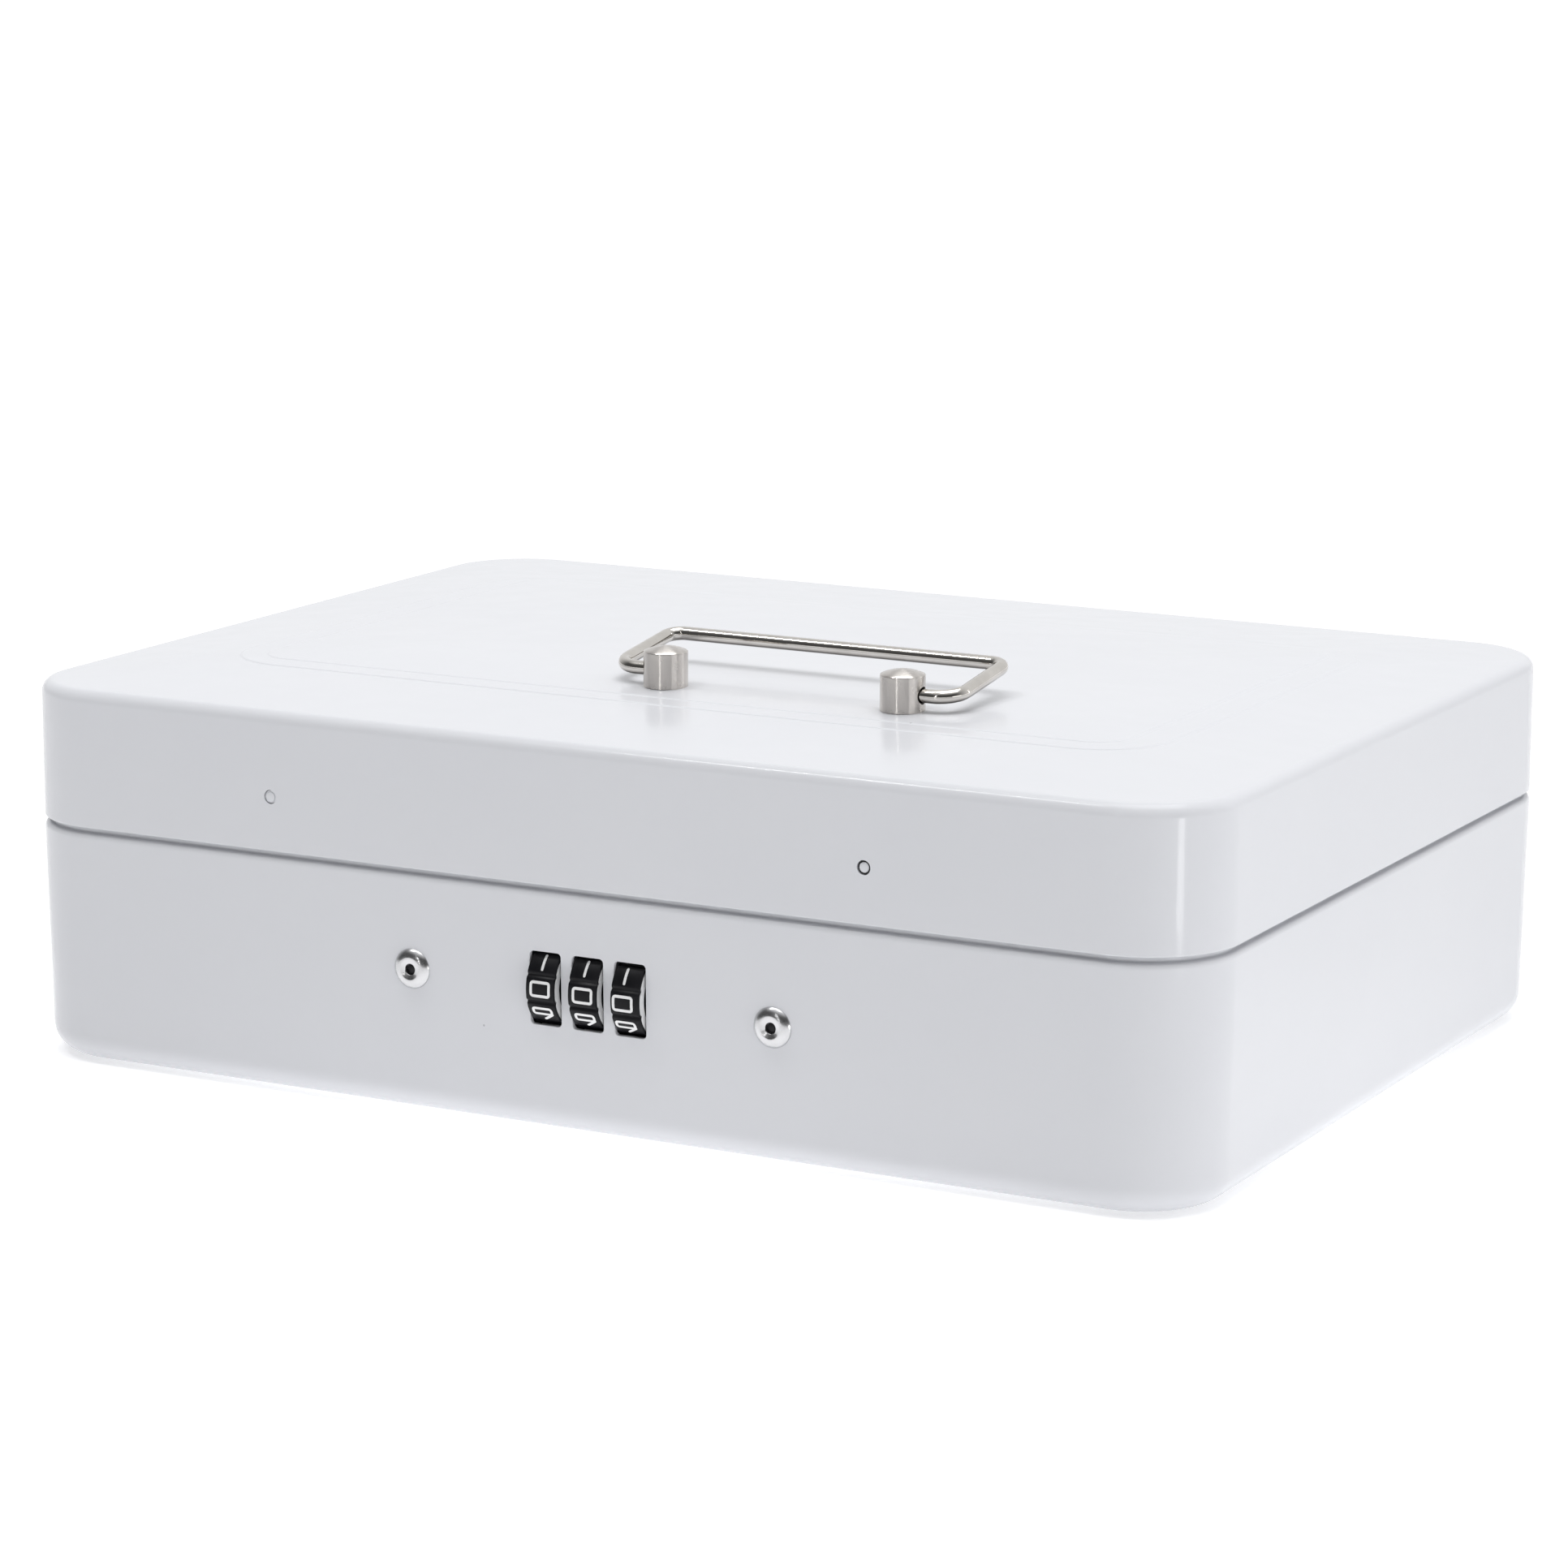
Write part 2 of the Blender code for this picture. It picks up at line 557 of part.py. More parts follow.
def spindle():
    start = LOCK_X - CASE_HALF - GAP
    end = LOCK_X + CASE_HALF + 2.0 * MM
    length = end - start
    profile = [(0.0, length), (SPINDLE_R - 0.3 * MM, length), (SPINDLE_R, length - 0.3 * MM)]
    head = [(3.2 * MM, 0.0), (3.2 * MM, -0.9 * MM), (2.6 * MM, -1.3 * MM), (0.0, -1.3 * MM)]
    profile += [(SPINDLE_R, 0.0)] + head
    turned("dial_spindle", "X", (start, DIAL_Y, DIAL_Z), profile, zinc, sides=20)
    clip = (LOCK_X + CASE_HALF + GAP + 0.4 * MM, DIAL_Y, DIAL_Z)
    ring("spindle_clip", "X", clip, 3.2 * MM, SPINDLE_R + GAP, 0.8 * MM, spring_steel, 20)
    left = LOCK_X - CASE_HALF + SHEET + GAP
    right = DIAL_XS[0] - DIAL_WIDTH / 2 - GAP
    spacer = ((left + right) / 2, DIAL_Y, DIAL_Z)
    ring("spindle_spacer", "X", spacer, 3.4 * MM, SPINDLE_R + GAP, right - left, zinc, 20)
    spring_start = DIAL_XS[2] + DIAL_WIDTH / 2 + SLEEVE_TAIL + GAP + SPRING_WIRE_R
    spring_end = LOCK_X + CASE_HALF - SHEET - GAP - SPRING_WIRE_R
    place = (spring_start, DIAL_Y, DIAL_Z)
    coil("spindle_spring", place, spring_end - spring_start, 3.2 * MM, SPRING_WIRE_R, 5, spring_steel)


# ---------------------------------------------------------------- dials
def dial_wheel(name, x):
    """A ring with ten numeral pads, a shallow groove between each two, and a bore for its sleeve."""
    outline = []
    pad = 360 / DIGITS
    for i in range(DIGITS):
        start = 90 + i * pad + pad / 2
        for offset, drop in ((0, NOTCH_DEPTH), (3, NOTCH_DEPTH / 4), (11, 0), (25, 0), (33, NOTCH_DEPTH / 4)):
            angle = radians(start + offset)
            radius = DIAL_R - drop
            outline.append((radius * cos(angle), radius * sin(angle)))
    right_side = DIAL_WIDTH / 2 - FLANGE_THICK - GAP
    wheel = plate(name, "YZ", outline, -DIAL_WIDTH / 2, right_side, dial_black)
    cut(wheel, rod(f"{name}_bore", "X", (0, 0, 0), SLEEVE_R + GAP, 2 * DIAL_WIDTH, None, cutters))
    wheel.location += Vector((x, DIAL_Y, DIAL_Z))
    return smooth(wheel, 20)


def cam_sleeve(name, x):
    """The sleeve inside a dial: a flange on the dial's side, then a cam disc gated straight up at zero."""
    start, end = -DIAL_WIDTH / 2, DIAL_WIDTH / 2 + SLEEVE_TAIL
    disc = DIAL_PITCH / 2
    d0, d1 = disc - CAM_THICK / 2, disc + CAM_THICK / 2
    f0, f1 = DIAL_WIDTH / 2 - FLANGE_THICK, DIAL_WIDTH / 2
    profile = [(SLEEVE_BORE, end), (SLEEVE_R, end), (SLEEVE_R, d1), (CAM_R, d1), (CAM_R, d0), (SLEEVE_R, d0)]
    profile += [(SLEEVE_R, f1), (FLANGE_R, f1), (FLANGE_R, f0), (SLEEVE_R, f0)]
    profile += [(SLEEVE_R, start), (SLEEVE_BORE, start), (SLEEVE_BORE, end)]
    sleeve = turned(name, "X", (x, DIAL_Y, DIAL_Z), profile, cam_white)
    gate_low = (x + d0 - 0.6 * MM, DIAL_Y - 2.0 * MM, DIAL_Z + GATE_R)
    gate_high = (x + d1 + 1 * MM, DIAL_Y + 2.0 * MM, DIAL_Z + CAM_R + 2 * MM)
    return cut(sleeve, box(f"{name}_gate", gate_low, gate_high, None, cutters))


def detent_spring():
    """A leaf on the case's floor with one finger under each dial."""
    floor = CASE_Z[0] + SHEET + GAP
    thick = 0.5 * MM
    tip = DIAL_Z - DIAL_R - GAP - thick
    back, front = CASE_BACK_Y - SHEET - 2 * MM, DIAL_Y - 1.5 * MM
    knee = DIAL_Y + 9 * MM
    strip_low = (DIAL_XS[0] - 3 * MM, knee, floor)
    leaf = box("detent_spring", strip_low, (DIAL_XS[2] + 3 * MM, back, floor + thick), spring_steel)
    under = [(knee + 1 * MM, floor), (DIAL_Y + 2 * MM, tip), (front, tip - 0.3 * MM)]
    outline = under + [(y, z + thick) for y, z in reversed(under)]
    outline = outline[:-1] + [(knee + 1 * MM, floor + thick)]
    fingers = []
    for i, x in enumerate(DIAL_XS):
        fingers.append(plate(f"finger_{i}", "YZ", outline, x - 2.4 * MM, x + 2.4 * MM, None, cutters))
    return join(leaf, *fingers)


# ---------------------------------------------------------------- lock slide, its guide and spring
def lock_slide():
    """The bolt plate: fingers that pass the cam gates and a nose that goes under the strike's hook."""
    x0, x1 = LOCK_X - 17 * MM, LOCK_X + 21 * MM
    plate_low = (x0, TONGUE_Y[0], PLATE_Z[0])
    slide = box("lock_slide", plate_low, (x1, CASE_BACK_Y - SHEET - GAP, PLATE_Z[1]), zinc)
    pieces = []
    for i, x in enumerate(DIAL_XS):
        left = x + DIAL_WIDTH / 2 + 0.35 * MM
        low = (left, DIAL_Y - 1.6 * MM, DIAL_Z + GATE_R + GAP)
        high = (left + 0.8 * MM, DIAL_Y + 1.6 * MM, PLATE_Z[0] + 0.3 * MM)
        pieces.append(box(f"fence_{i}", low, high, None, cutters))
    tip = TONGUE_X[0] - 0.4 * MM
    post = tip - 3.6 * MM
    nose_z = (HOOK_MOUTH[0] + 0.4 * MM, HOOK_MOUTH[1] - 0.4 * MM)
    base = PLATE_Z[1] - 0.3 * MM
    outline = [(post - 2.0 * MM, base), (post, base), (post, nose_z[0]), (tip, nose_z[0])]
    outline += [(tip, nose_z[1]), (post - 2.0 * MM, nose_z[1])]
    pieces.append(plate("slide_nose", "XZ", outline, TONGUE_Y[0], TONGUE_Y[1], None, cutters))
    tab_low = (x0, DIAL_Y + 3 * MM, PLATE_Z[1] - 0.3 * MM)
    tab_high = (x0 + 1 * MM, DIAL_Y + 9 * MM, PLATE_Z[1] + 4.4 * MM)
    pieces.append(box("spring_tab", tab_low, tab_high, None, cutters))
    return join(slide, *pieces)


def slide_guide():
    """A folded angle on the case's back wall that the slide runs on."""
    x0, x1 = LOCK_X - 18 * MM, LOCK_X + 18 * MM
    back = CASE_BACK_Y - SHEET - GAP
    top = PLATE_Z[0] - GAP
    front = DIAL_Y + DIAL_R + 1 * MM
    outline = [(back, top), (front, top), (front, top - SHEET), (back - SHEET, top - SHEET)]
    outline += [(back - SHEET, top - 8 * MM), (back, top - 8 * MM)]
    return plate("slide_guide", "YZ", outline, x0, x1, zinc)


def slide_spring():
    start = LOCK_X - CASE_HALF + SHEET + GAP + SPRING_WIRE_R
    end = LOCK_X - 17 * MM - GAP - SPRING_WIRE_R
    place = (start, DIAL_Y + 6 * MM, PLATE_Z[1] + 2.4 * MM)
    return coil("slide_spring", place, end - start, 1.6 * MM, SPRING_WIRE_R, 5, spring_steel)


# ---------------------------------------------------------------- code-change lever
def reset_lever():
    """A thumb tab behind the lock case, on a stem through its slot to a plate inside."""
    x, z = LEVER_X, LEVER_Z
    outer = CASE_BACK_Y + GAP
    inner = CASE_BACK_Y - SHEET - GAP
    tab_low, tab_high = (x - 3 * MM, outer, z - 3 * MM), (x + 3 * MM, outer + 2.6 * MM, z + 3 * MM)
    tab = box("reset_lever", tab_low, tab_high, nickel)
    stem_low = (x - 1.5 * MM, inner - 0.5 * MM, z - 1.5 * MM)
    stem_high = (x + 1.5 * MM, outer + 0.5 * MM, z + 1.5 * MM)
    stem = box("lever_stem", stem_low, stem_high, None, cutters)
    plate_low = (x - 4 * MM, inner - 1 * MM, z - 3.5 * MM)
    keeper = box("lever_keeper", plate_low, (x + 4 * MM, inner, z + 3.5 * MM), None, cutters)
    return join(tab, stem, keeper)


# ---------------------------------------------------------------- coin tray and its ledges
def tray_pockets():
    """The tray's pockets as (x0, x1, y0, y1): four coin cups in front, two long ones behind."""
    x0, x1 = -TRAY_HALF_X + TRAY_WALL, TRAY_HALF_X - TRAY_WALL
    y0, y1 = TRAY_Y[0] + TRAY_WALL, TRAY_Y[1] - TRAY_WALL
    rows = ((4, y0, y0 + 82 * MM), (2, y0 + 82 * MM + TRAY_WALL, y1))
    pockets = []
    for count, front, back in rows:
        width = (x1 - x0 - (count - 1) * TRAY_WALL) / count
        for i in range(count):
            left = x0 + i * (width + TRAY_WALL)
            pockets.append((left, left + width, front, back))
    return pockets


def coin_tray():
    half_y, middle_y = (TRAY_Y[1] - TRAY_Y[0]) / 2, sum(TRAY_Y) / 2
    outer = [(x, y + middle_y) for x, y in rounded_rectangle(TRAY_HALF_X, half_y, 14 * MM, 4)]
    tray = plate("coin_tray", "XY", outer, TRAY_Z[0], TRAY_Z[1], tray_black)
    tools = []
    for i, (x0, x1, y0, y1) in enumerate(tray_pockets()):
        centre_x, centre_y = (x0 + x1) / 2, (y0 + y1) / 2
        pocket = rounded_rectangle((x1 - x0) / 2, (y1 - y0) / 2, 12 * MM, 3)
        pocket = [(x + centre_x, y + centre_y) for x, y in pocket]
        floor = TRAY_Z[0] + TRAY_WALL
        tools.append(plate(f"pocket_{i}", "XY", pocket, floor, TRAY_Z[1] + 5 * MM, None, cutters))
    return cut(tray, *tools)


def tray_ledges():
    """Folded angles inside the side walls that the coin tray stands on."""
    top = TRAY_Z[0] - GAP
    foot = top - 12 * MM
    wall = HALF_X - SHEET - wall_inset(foot) - GAP
    reach = wall - 12 * MM
    right = [(wall, foot), (wall, top), (reach, top), (reach, top - SHEET), (wall - SHEET, top - SHEET)]
    right += [(wall - SHEET, foot)]
    plate("tray_ledge_right", "XZ", right, -60 * MM, 85 * MM, zinc)
    plate("tray_ledge_left", "XZ", [(-x, z) for x, z in reversed(right)], -60 * MM, 85 * MM, zinc)


def pivot(name, place, children):
    """An empty on a joint's axis that carries the pieces that turn about it."""
    empty = bpy.data.objects.new(name, None)
    parts.objects.link(empty)
    empty.location = place
    bpy.context.view_layer.update()
    for child in children:
        child.parent = empty
        child.matrix_parent_inverse = empty.matrix_world.inverted()


# ---------------------------------------------------------------- assembly
base_shell()
lid_shell()
hinges()
handle()
lid_strike()
lock_case()
blind_rivet("left")
blind_rivet("right")
spindle()
for number, dial_x in enumerate(DIAL_XS, start=1):
    dial_wheel(f"dial_wheel_{number}", dial_x)
    cam_sleeve(f"cam_sleeve_{number}", dial_x)
detent_spring()
lock_slide()
slide_guide()
slide_spring()
reset_lever()
coin_tray()
tray_ledges()

on_lid = ("lid_", "hinge_lid_leaf", "handle_", "post_washer", "strike_rivet")
lid_pieces = [obj for obj in parts.objects if obj.name.startswith(on_lid)]
pivot("lid_pivot", (0, HINGE_Y, HINGE_Z), lid_pieces)
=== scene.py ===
"""Looks for the cash box: painted sheet shells, a polished wire bail on turned posts, numeral dials."""
import json
import math
import bmesh
import bpy
from mathutils import Matrix, Vector

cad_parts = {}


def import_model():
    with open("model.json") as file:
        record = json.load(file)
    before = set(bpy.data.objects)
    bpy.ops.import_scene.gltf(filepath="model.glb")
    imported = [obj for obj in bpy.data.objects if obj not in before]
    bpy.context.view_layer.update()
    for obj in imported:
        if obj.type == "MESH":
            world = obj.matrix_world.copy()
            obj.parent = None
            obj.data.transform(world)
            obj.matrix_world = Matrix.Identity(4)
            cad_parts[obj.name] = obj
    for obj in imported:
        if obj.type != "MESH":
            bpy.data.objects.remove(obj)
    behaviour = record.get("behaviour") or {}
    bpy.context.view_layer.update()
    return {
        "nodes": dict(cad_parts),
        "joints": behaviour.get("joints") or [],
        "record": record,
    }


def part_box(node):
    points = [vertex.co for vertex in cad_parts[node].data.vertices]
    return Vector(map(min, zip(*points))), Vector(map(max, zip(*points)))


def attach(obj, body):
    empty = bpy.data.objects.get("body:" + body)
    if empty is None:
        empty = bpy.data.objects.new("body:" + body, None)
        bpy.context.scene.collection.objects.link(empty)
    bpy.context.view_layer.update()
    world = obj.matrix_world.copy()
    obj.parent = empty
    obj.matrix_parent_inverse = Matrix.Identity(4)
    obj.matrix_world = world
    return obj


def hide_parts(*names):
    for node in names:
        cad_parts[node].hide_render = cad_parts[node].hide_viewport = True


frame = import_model()

MM = 0.001

# ---------------------------------------------------------------- sizes, many of them read from the frame
SHEET = 1.0 * MM
HALF_X, HALF_Y, BASE_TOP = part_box("base_shell")[1]
LID_FOOT, LID_CROWN = (corner[2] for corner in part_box("lid_shell"))
PLAN_R = 21.8 * MM                                   # corner radius of the box, seen from above
PLAN_STEPS = 24
SAME_PLACE = 1e-7                                    # points nearer than this are one point

SHOULDER_Z = 53.6 * MM
SHOULDER_R = 1.4 * MM
NECK_INSET = 1.8 * MM
NECK_FILLET = 0.4 * MM
BOTTOM_R = 6.7 * MM
DRAFT = 0.8 * MM

LID_EDGE_R = 3.0 * MM
LID_EDGE_Z = 88.4 * MM
PANEL_OUTER = (119.5 * MM, 70.0 * MM, 18.0 * MM)     # half x, half y and corner radius of the raised band
PANEL_INNER = (110.5 * MM, 63.5 * MM, 8.0 * MM)
PANEL_FOOT_Z = 90.35 * MM
BAND_Z = (90.60 * MM, 90.84 * MM)                    # the band's height at its outer and inner side
FIELD_Z = 91.05 * MM
CREASE = 0.11                                        # share of the band's width taken by each soft step

POST_R = 5.1 * MM
POST_BORE_R = 2.0 * MM
POST_TAIL_R = 2.2 * MM
WIRE_R = 1.6 * MM
BAIL_RISE = 7.7                                      # degrees the bail rises towards its bar

WINDOW_SIZE = (7.8 * MM, 16.6 * MM)
WINDOW_OFFSET = 3.55 * MM                            # window's middle, from the dial's left face
DIAL_R = 10.0 * MM
DIGITS = 10
DIGIT_W, DIGIT_H = 2.28 * MM, 1.55 * MM              # half width and half height of a numeral's centre line
STROKE = 0.32 * MM                                   # half a stroke's width
PAD_DROP = 0.18 * MM                                 # pads stand this far under the dial's full radius
DIALS = (                                            # number, lean in degrees, numerals' shift to the right
    (1, 2.4, 0.07 * MM),
    (2, 1.4, 0.12 * MM),
    (3, -1.7, -0.45 * MM),
)
SKIRT_RIVET_SUNK = {"left": 0.03 * MM, "right": 0.16 * MM}

CAMERA_SPOT = (0.53635, -1.01533, 0.29846)
CAMERA_TURN = (-28.01, 11.75, 0.17)                  # yaw, pitch down and roll in degrees
CAMERA_LENS = 113.5
LIGHTS = (                                           # name, centre, target, size, power, seen by the camera
    ("key", (0.1, 0.1, 1.75), (0, 0, 0.05), (1.3, 1.2), 15, True),
    ("edge", (-0.7, -0.46, 1.69), (0.09, -0.1, 0.09), (0.1, 0.4), 4.2, True),
    ("fill", (1.5, -0.45, 0.09), (0.15, 0, 0.06), (0.9, 0.14), 0.9, False),
    ("front_strip", (-0.05, -1.6, 0.55), (0.02, -0.05, 0.09), (0.025, 0.9), 1.2, True),
    ("side_strip", (1.28, 0.96, 0.55), (0.02, -0.05, 0.09), (0.025, 0.9), 0.8, True),
    ("corner", (0.364, -0.207, 0.024), (0.143, -0.103, 0.024), (0.035, 0.045), 0.05, False),
)


def middle(name):
    low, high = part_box(name)
    return (Vector(low) + Vector(high)) / 2


SPINDLE = middle("dial_spindle")
WINDOW_XS = [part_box(f"dial_wheel_{number}")[0][0] + WINDOW_OFFSET for number, _, _ in DIALS]
PIVOT = Vector(next(joint for joint in frame["joints"] if joint["name"] == "handle_fold")["pos_m"])


def wall_inset(z):
    """How far the leaning base wall stands inside the box's outline at a height."""
    return DRAFT * (SHOULDER_Z - z) / (SHOULDER_Z - BOTTOM_R)


# ---------------------------------------------------------------- node helpers for materials
class Nodes:
    """A small wrapper that keeps material code short."""

    def __init__(self, name):
        self.material = bpy.data.materials.new(name)
        self.material.use_nodes = True
        self.tree = self.material.node_tree
        self.bsdf = self.tree.nodes["Principled BSDF"]

    def add(self, kind, **settings):
        node = self.tree.nodes.new(kind)
        for key, value in settings.items():
            setattr(node, key, value)
        return node

    def link(self, out, into):
        self.tree.links.new(out, into)

    def set(self, **values):
        for key, value in values.items():
            self.bsdf.inputs[key.replace("_", " ")].default_value = value

    def coordinates(self, scale=(1, 1, 1)):
        place = self.add("ShaderNodeTexCoord")
        mapping = self.add("ShaderNodeMapping")
        mapping.inputs["Scale"].default_value = scale
        self.link(place.outputs["Object"], mapping.inputs["Vector"])
        return mapping.outputs["Vector"]

    def noise(self, scale, detail=2.0, roughness=0.5, stretch=(1, 1, 1)):
        node = self.add("ShaderNodeTexNoise")
        node.inputs["Scale"].default_value = scale
        node.inputs["Detail"].default_value = detail
        node.inputs["Roughness"].default_value = roughness
        self.link(self.coordinates(stretch), node.inputs["Vector"])
        return node.outputs["Fac"]

    def spread(self, value, low, high, start=0.3, stop=0.7):
        """value, between start and stop, spread out to low and high."""
        node = self.add("ShaderNodeMapRange")
        node.inputs["From Min"].default_value = start
        node.inputs["From Max"].default_value = stop
        node.inputs["To Min"].default_value = low
        node.inputs["To Max"].default_value = high
        self.link(value, node.inputs["Value"])
        return node.outputs["Result"]

    def mix(self, share, first, second):
        node = self.add("ShaderNodeMix", data_type="RGBA")
        for socket, colour in ((node.inputs[6], first), (node.inputs[7], second)):
            if isinstance(colour, tuple):
                socket.default_value = (*colour, 1.0)
            else:
                self.link(colour, socket)
        self.link(share, node.inputs[0])
        return node.outputs[2]

    def bump(self, height, distance):
        node = self.add("ShaderNodeBump")
        node.inputs["Strength"].default_value = 1.0
        node.inputs["Distance"].default_value = distance
        self.link(height, node.inputs["Height"])
        return node.outputs["Normal"]

    def math(self, operation, first, second):
        node = self.add("ShaderNodeMath", operation=operation)
        for socket, value in zip(node.inputs, (first, second)):
            if isinstance(value, (int, float)):
                socket.default_value = value
            else:
                self.link(value, socket)
        return node.outputs[0]


def paint_material():
    """White powder coat: faint orange peel and tone, a thin gloss, and the odd dust speck."""
    n = Nodes("white_powder_coat")
    n.set(Specular_IOR_Level=0.12, Coat_Weight=0.27, Coat_Roughness=0.07, Coat_IOR=1.45)
    tone = n.mix(n.noise(22, 3), (0.755, 0.765, 0.800), (0.785, 0.793, 0.822))
    speck_radius, speck_share, speck_strength = 0.017, 0.60, 0.45
    cells = n.add("ShaderNodeTexVoronoi")
    cells.inputs["Scale"].default_value = 62
    n.link(n.coordinates(), cells.inputs["Vector"])
    dot = n.math("LESS_THAN", cells.outputs["Distance"], speck_radius)
    pick = n.add("ShaderNodeSeparateColor")
    n.link(cells.outputs["Color"], pick.inputs["Color"])
    chosen = n.math("GREATER_THAN", pick.outputs["Red"], speck_share)
    speck = n.math("MULTIPLY", n.math("MULTIPLY", dot, chosen), speck_strength)
    n.link(n.mix(speck, tone, (0.25, 0.25, 0.27)), n.bsdf.inputs["Base Color"])
    n.link(n.spread(n.noise(90, 2), 0.19, 0.23), n.bsdf.inputs["Roughness"])
    n.link(n.bump(n.noise(520, 1.5), 0.000005), n.bsdf.inputs["Normal"])
    return n.material


def metal_material(name, colour, dark, roughness, streak, streak_scale, bump, stretch=(1, 1, 1)):
    """Plated or bare metal: base tone with a soft stain, and fine lines along the way it was worked."""
    n = Nodes(name)
    n.set(Metallic=1.0)
    n.link(n.mix(n.spread(n.noise(160, 3), 0, 1), dark, colour), n.bsdf.inputs["Base Color"])
    lines = n.noise(streak_scale, 3, 0.6, stretch)
    n.link(n.spread(lines, roughness - streak, roughness + streak), n.bsdf.inputs["Roughness"])
    n.link(n.bump(lines, bump), n.bsdf.inputs["Normal"])
    return n.material


def painted_underside_shade(material):
    """Painted shade: the wire's colour is darkened where its surface faces down, towards the lid."""
    tree = material.node_tree
    colour = tree.nodes["Principled BSDF"].inputs["Base Color"]
    facing = tree.nodes.new("ShaderNodeTexCoord")
    split = tree.nodes.new("ShaderNodeSeparateXYZ")
    share = tree.nodes.new("ShaderNodeMapRange")
    for key, value in (("From Min", -0.28), ("From Max", -0.85), ("To Min", 0.0), ("To Max", 1.0)):
        share.inputs[key].default_value = value
    mix = tree.nodes.new("ShaderNodeMix")
    mix.data_type = "RGBA"
    mix.inputs[7].default_value = (0.12, 0.11, 0.10, 1.0)
    tree.links.new(facing.outputs["Normal"], split.inputs[0])
    tree.links.new(split.outputs["Z"], share.inputs["Value"])
    tree.links.new(share.outputs["Result"], mix.inputs[0])
    tree.links.new(colour.links[0].from_socket, mix.inputs[6])
    tree.links.new(mix.outputs[2], colour)


def turned_metal(name, colour, dark):
    """Metal faced on a lathe: fine rings round the piece draw each highlight out along its height."""
    n = Nodes(name)
    n.set(Metallic=1.0, Anisotropic=0.9, Anisotropic_Rotation=0.25)
    grain = n.spread(n.noise(700, 2, 0.5, (1, 1, 0.3)), 0, 1)
    n.link(n.mix(grain, dark, colour), n.bsdf.inputs["Base Color"])
    n.link(n.spread(n.noise(500, 2), 0.255, 0.275), n.bsdf.inputs["Roughness"])
    tangent = n.add("ShaderNodeTangent", direction_type="RADIAL", axis="Z")
    n.link(tangent.outputs["Tangent"], n.bsdf.inputs["Tangent"])
    return n.material


def plastic_material(name, colour, other, roughness, grain_scale, grain, shine=0.5):
    """Moulded plastic: fine grain with a slightly uneven sheen."""
    n = Nodes(name)
    n.set(Specular_IOR_Level=shine)
    n.link(n.mix(n.noise(120, 3), colour, other), n.bsdf.inputs["Base Color"])
    sheen = n.spread(n.noise(grain_scale / 3, 2), roughness - 0.06, roughness + 0.06)
    n.link(sheen, n.bsdf.inputs["Roughness"])
    n.link(n.bump(n.noise(grain_scale, 2), grain), n.bsdf.inputs["Normal"])
    return n.material


paint = paint_material()
wire_nickel = metal_material("wire_nickel", (0.74, 0.71, 0.665), (0.64, 0.61, 0.57), 0.09, 0.03, 500,
                             0.000004, (0.12, 1, 1))
# Painted shade on the bail wire's downward side.
painted_underside_shade(wire_nickel)
post_nickel = turned_metal("post_nickel", (0.68, 0.645, 0.61), (0.62, 0.588, 0.556))
rivet_aluminium = metal_material("rivet_aluminium", (0.68, 0.68, 0.69), (0.60, 0.60, 0.61), 0.24, 0.04, 600,
                                 0.000005, (1, 0.2, 1))
zinc = metal_material("zinc_plate", (0.64, 0.65, 0.67), (0.52, 0.53, 0.56), 0.34, 0.08, 300,
                      0.00001, (0.2, 1, 1))
spring_steel = metal_material("spring_steel", (0.42, 0.42, 0.43), (0.30, 0.30, 0.31), 0.28, 0.08, 700,
                              0.000006)
# Near-black steel: painted shade, for the hollow of each blind rivet and the ring round the right strike
# rivet.
shade_black_steel = metal_material("near_black_steel_as_shade", (0.05, 0.05, 0.052), (0.02, 0.02, 0.022), 0.5, 0.1, 400,
                            0.00001)
dial_black = plastic_material("dial_black", (0.006, 0.006, 0.008), (0.011, 0.011, 0.013), 0.36, 1500,
                              0.000006, 0.16)
numeral_white = plastic_material("numeral_white", (0.92, 0.92, 0.92), (0.87, 0.87, 0.87), 0.45, 900, 0.000004)
sleeve_white = plastic_material("sleeve_white", (0.88, 0.88, 0.88), (0.82, 0.82, 0.82), 0.40, 900, 0.000006)
tray_black = plastic_material("tray_black", (0.022, 0.022, 0.024), (0.032, 0.032, 0.034), 0.48, 700, 0.00003)


# ---------------------------------------------------------------- mesh helpers
def link_mesh(name, bm, material, sharp=35):
    bmesh.ops.recalc_face_normals(bm, faces=bm.faces)
    mesh = bpy.data.meshes.new(name)
    bm.to_mesh(mesh)
    bm.free()
    mesh.shade_smooth()
    mesh.set_sharp_from_angle(angle=math.radians(sharp))
    mesh.materials.append(material)
    obj = bpy.data.objects.new(name, mesh)
    bpy.context.scene.collection.objects.link(obj)
    return obj


def place(obj, body, slot, *nodes):
    """The piece rides on the body and stands for the nodes; the slot is not used."""
    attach(obj, body)
    if nodes:
        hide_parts(*nodes)


def even_normals(obj, name):
    """Shading that follows the large faces, so that flat walls stay flat beside their rounds."""
    modifier = obj.modifiers.new(name, "WEIGHTED_NORMAL")
    modifier.keep_sharp = True
    modifier.weight = 100


def skin(bm, loops):
    """Walls between neighbouring loops of points."""
    for first, second in zip(loops, loops[1:]):
        for i in range(len(first)):
            j = (i + 1) % len(first)
            bm.faces.new((first[i], first[j], second[j], second[i]))


def bake(obj):
    """Apply the object's modifiers."""
    graph = bpy.context.evaluated_depsgraph_get()
    mesh = bpy.data.meshes.new_from_object(obj.evaluated_get(graph))
    obj.modifiers.clear()
    obj.data = mesh


def arc(cx, cy, radius, start, stop, steps):
    """Points on an arc, in degrees, both ends included."""
    angles = [math.radians(start + (stop - start) * i / steps) for i in range(steps + 1)]
    return [(cx + radius * math.cos(a), cy + radius * math.sin(a)) for a in angles]


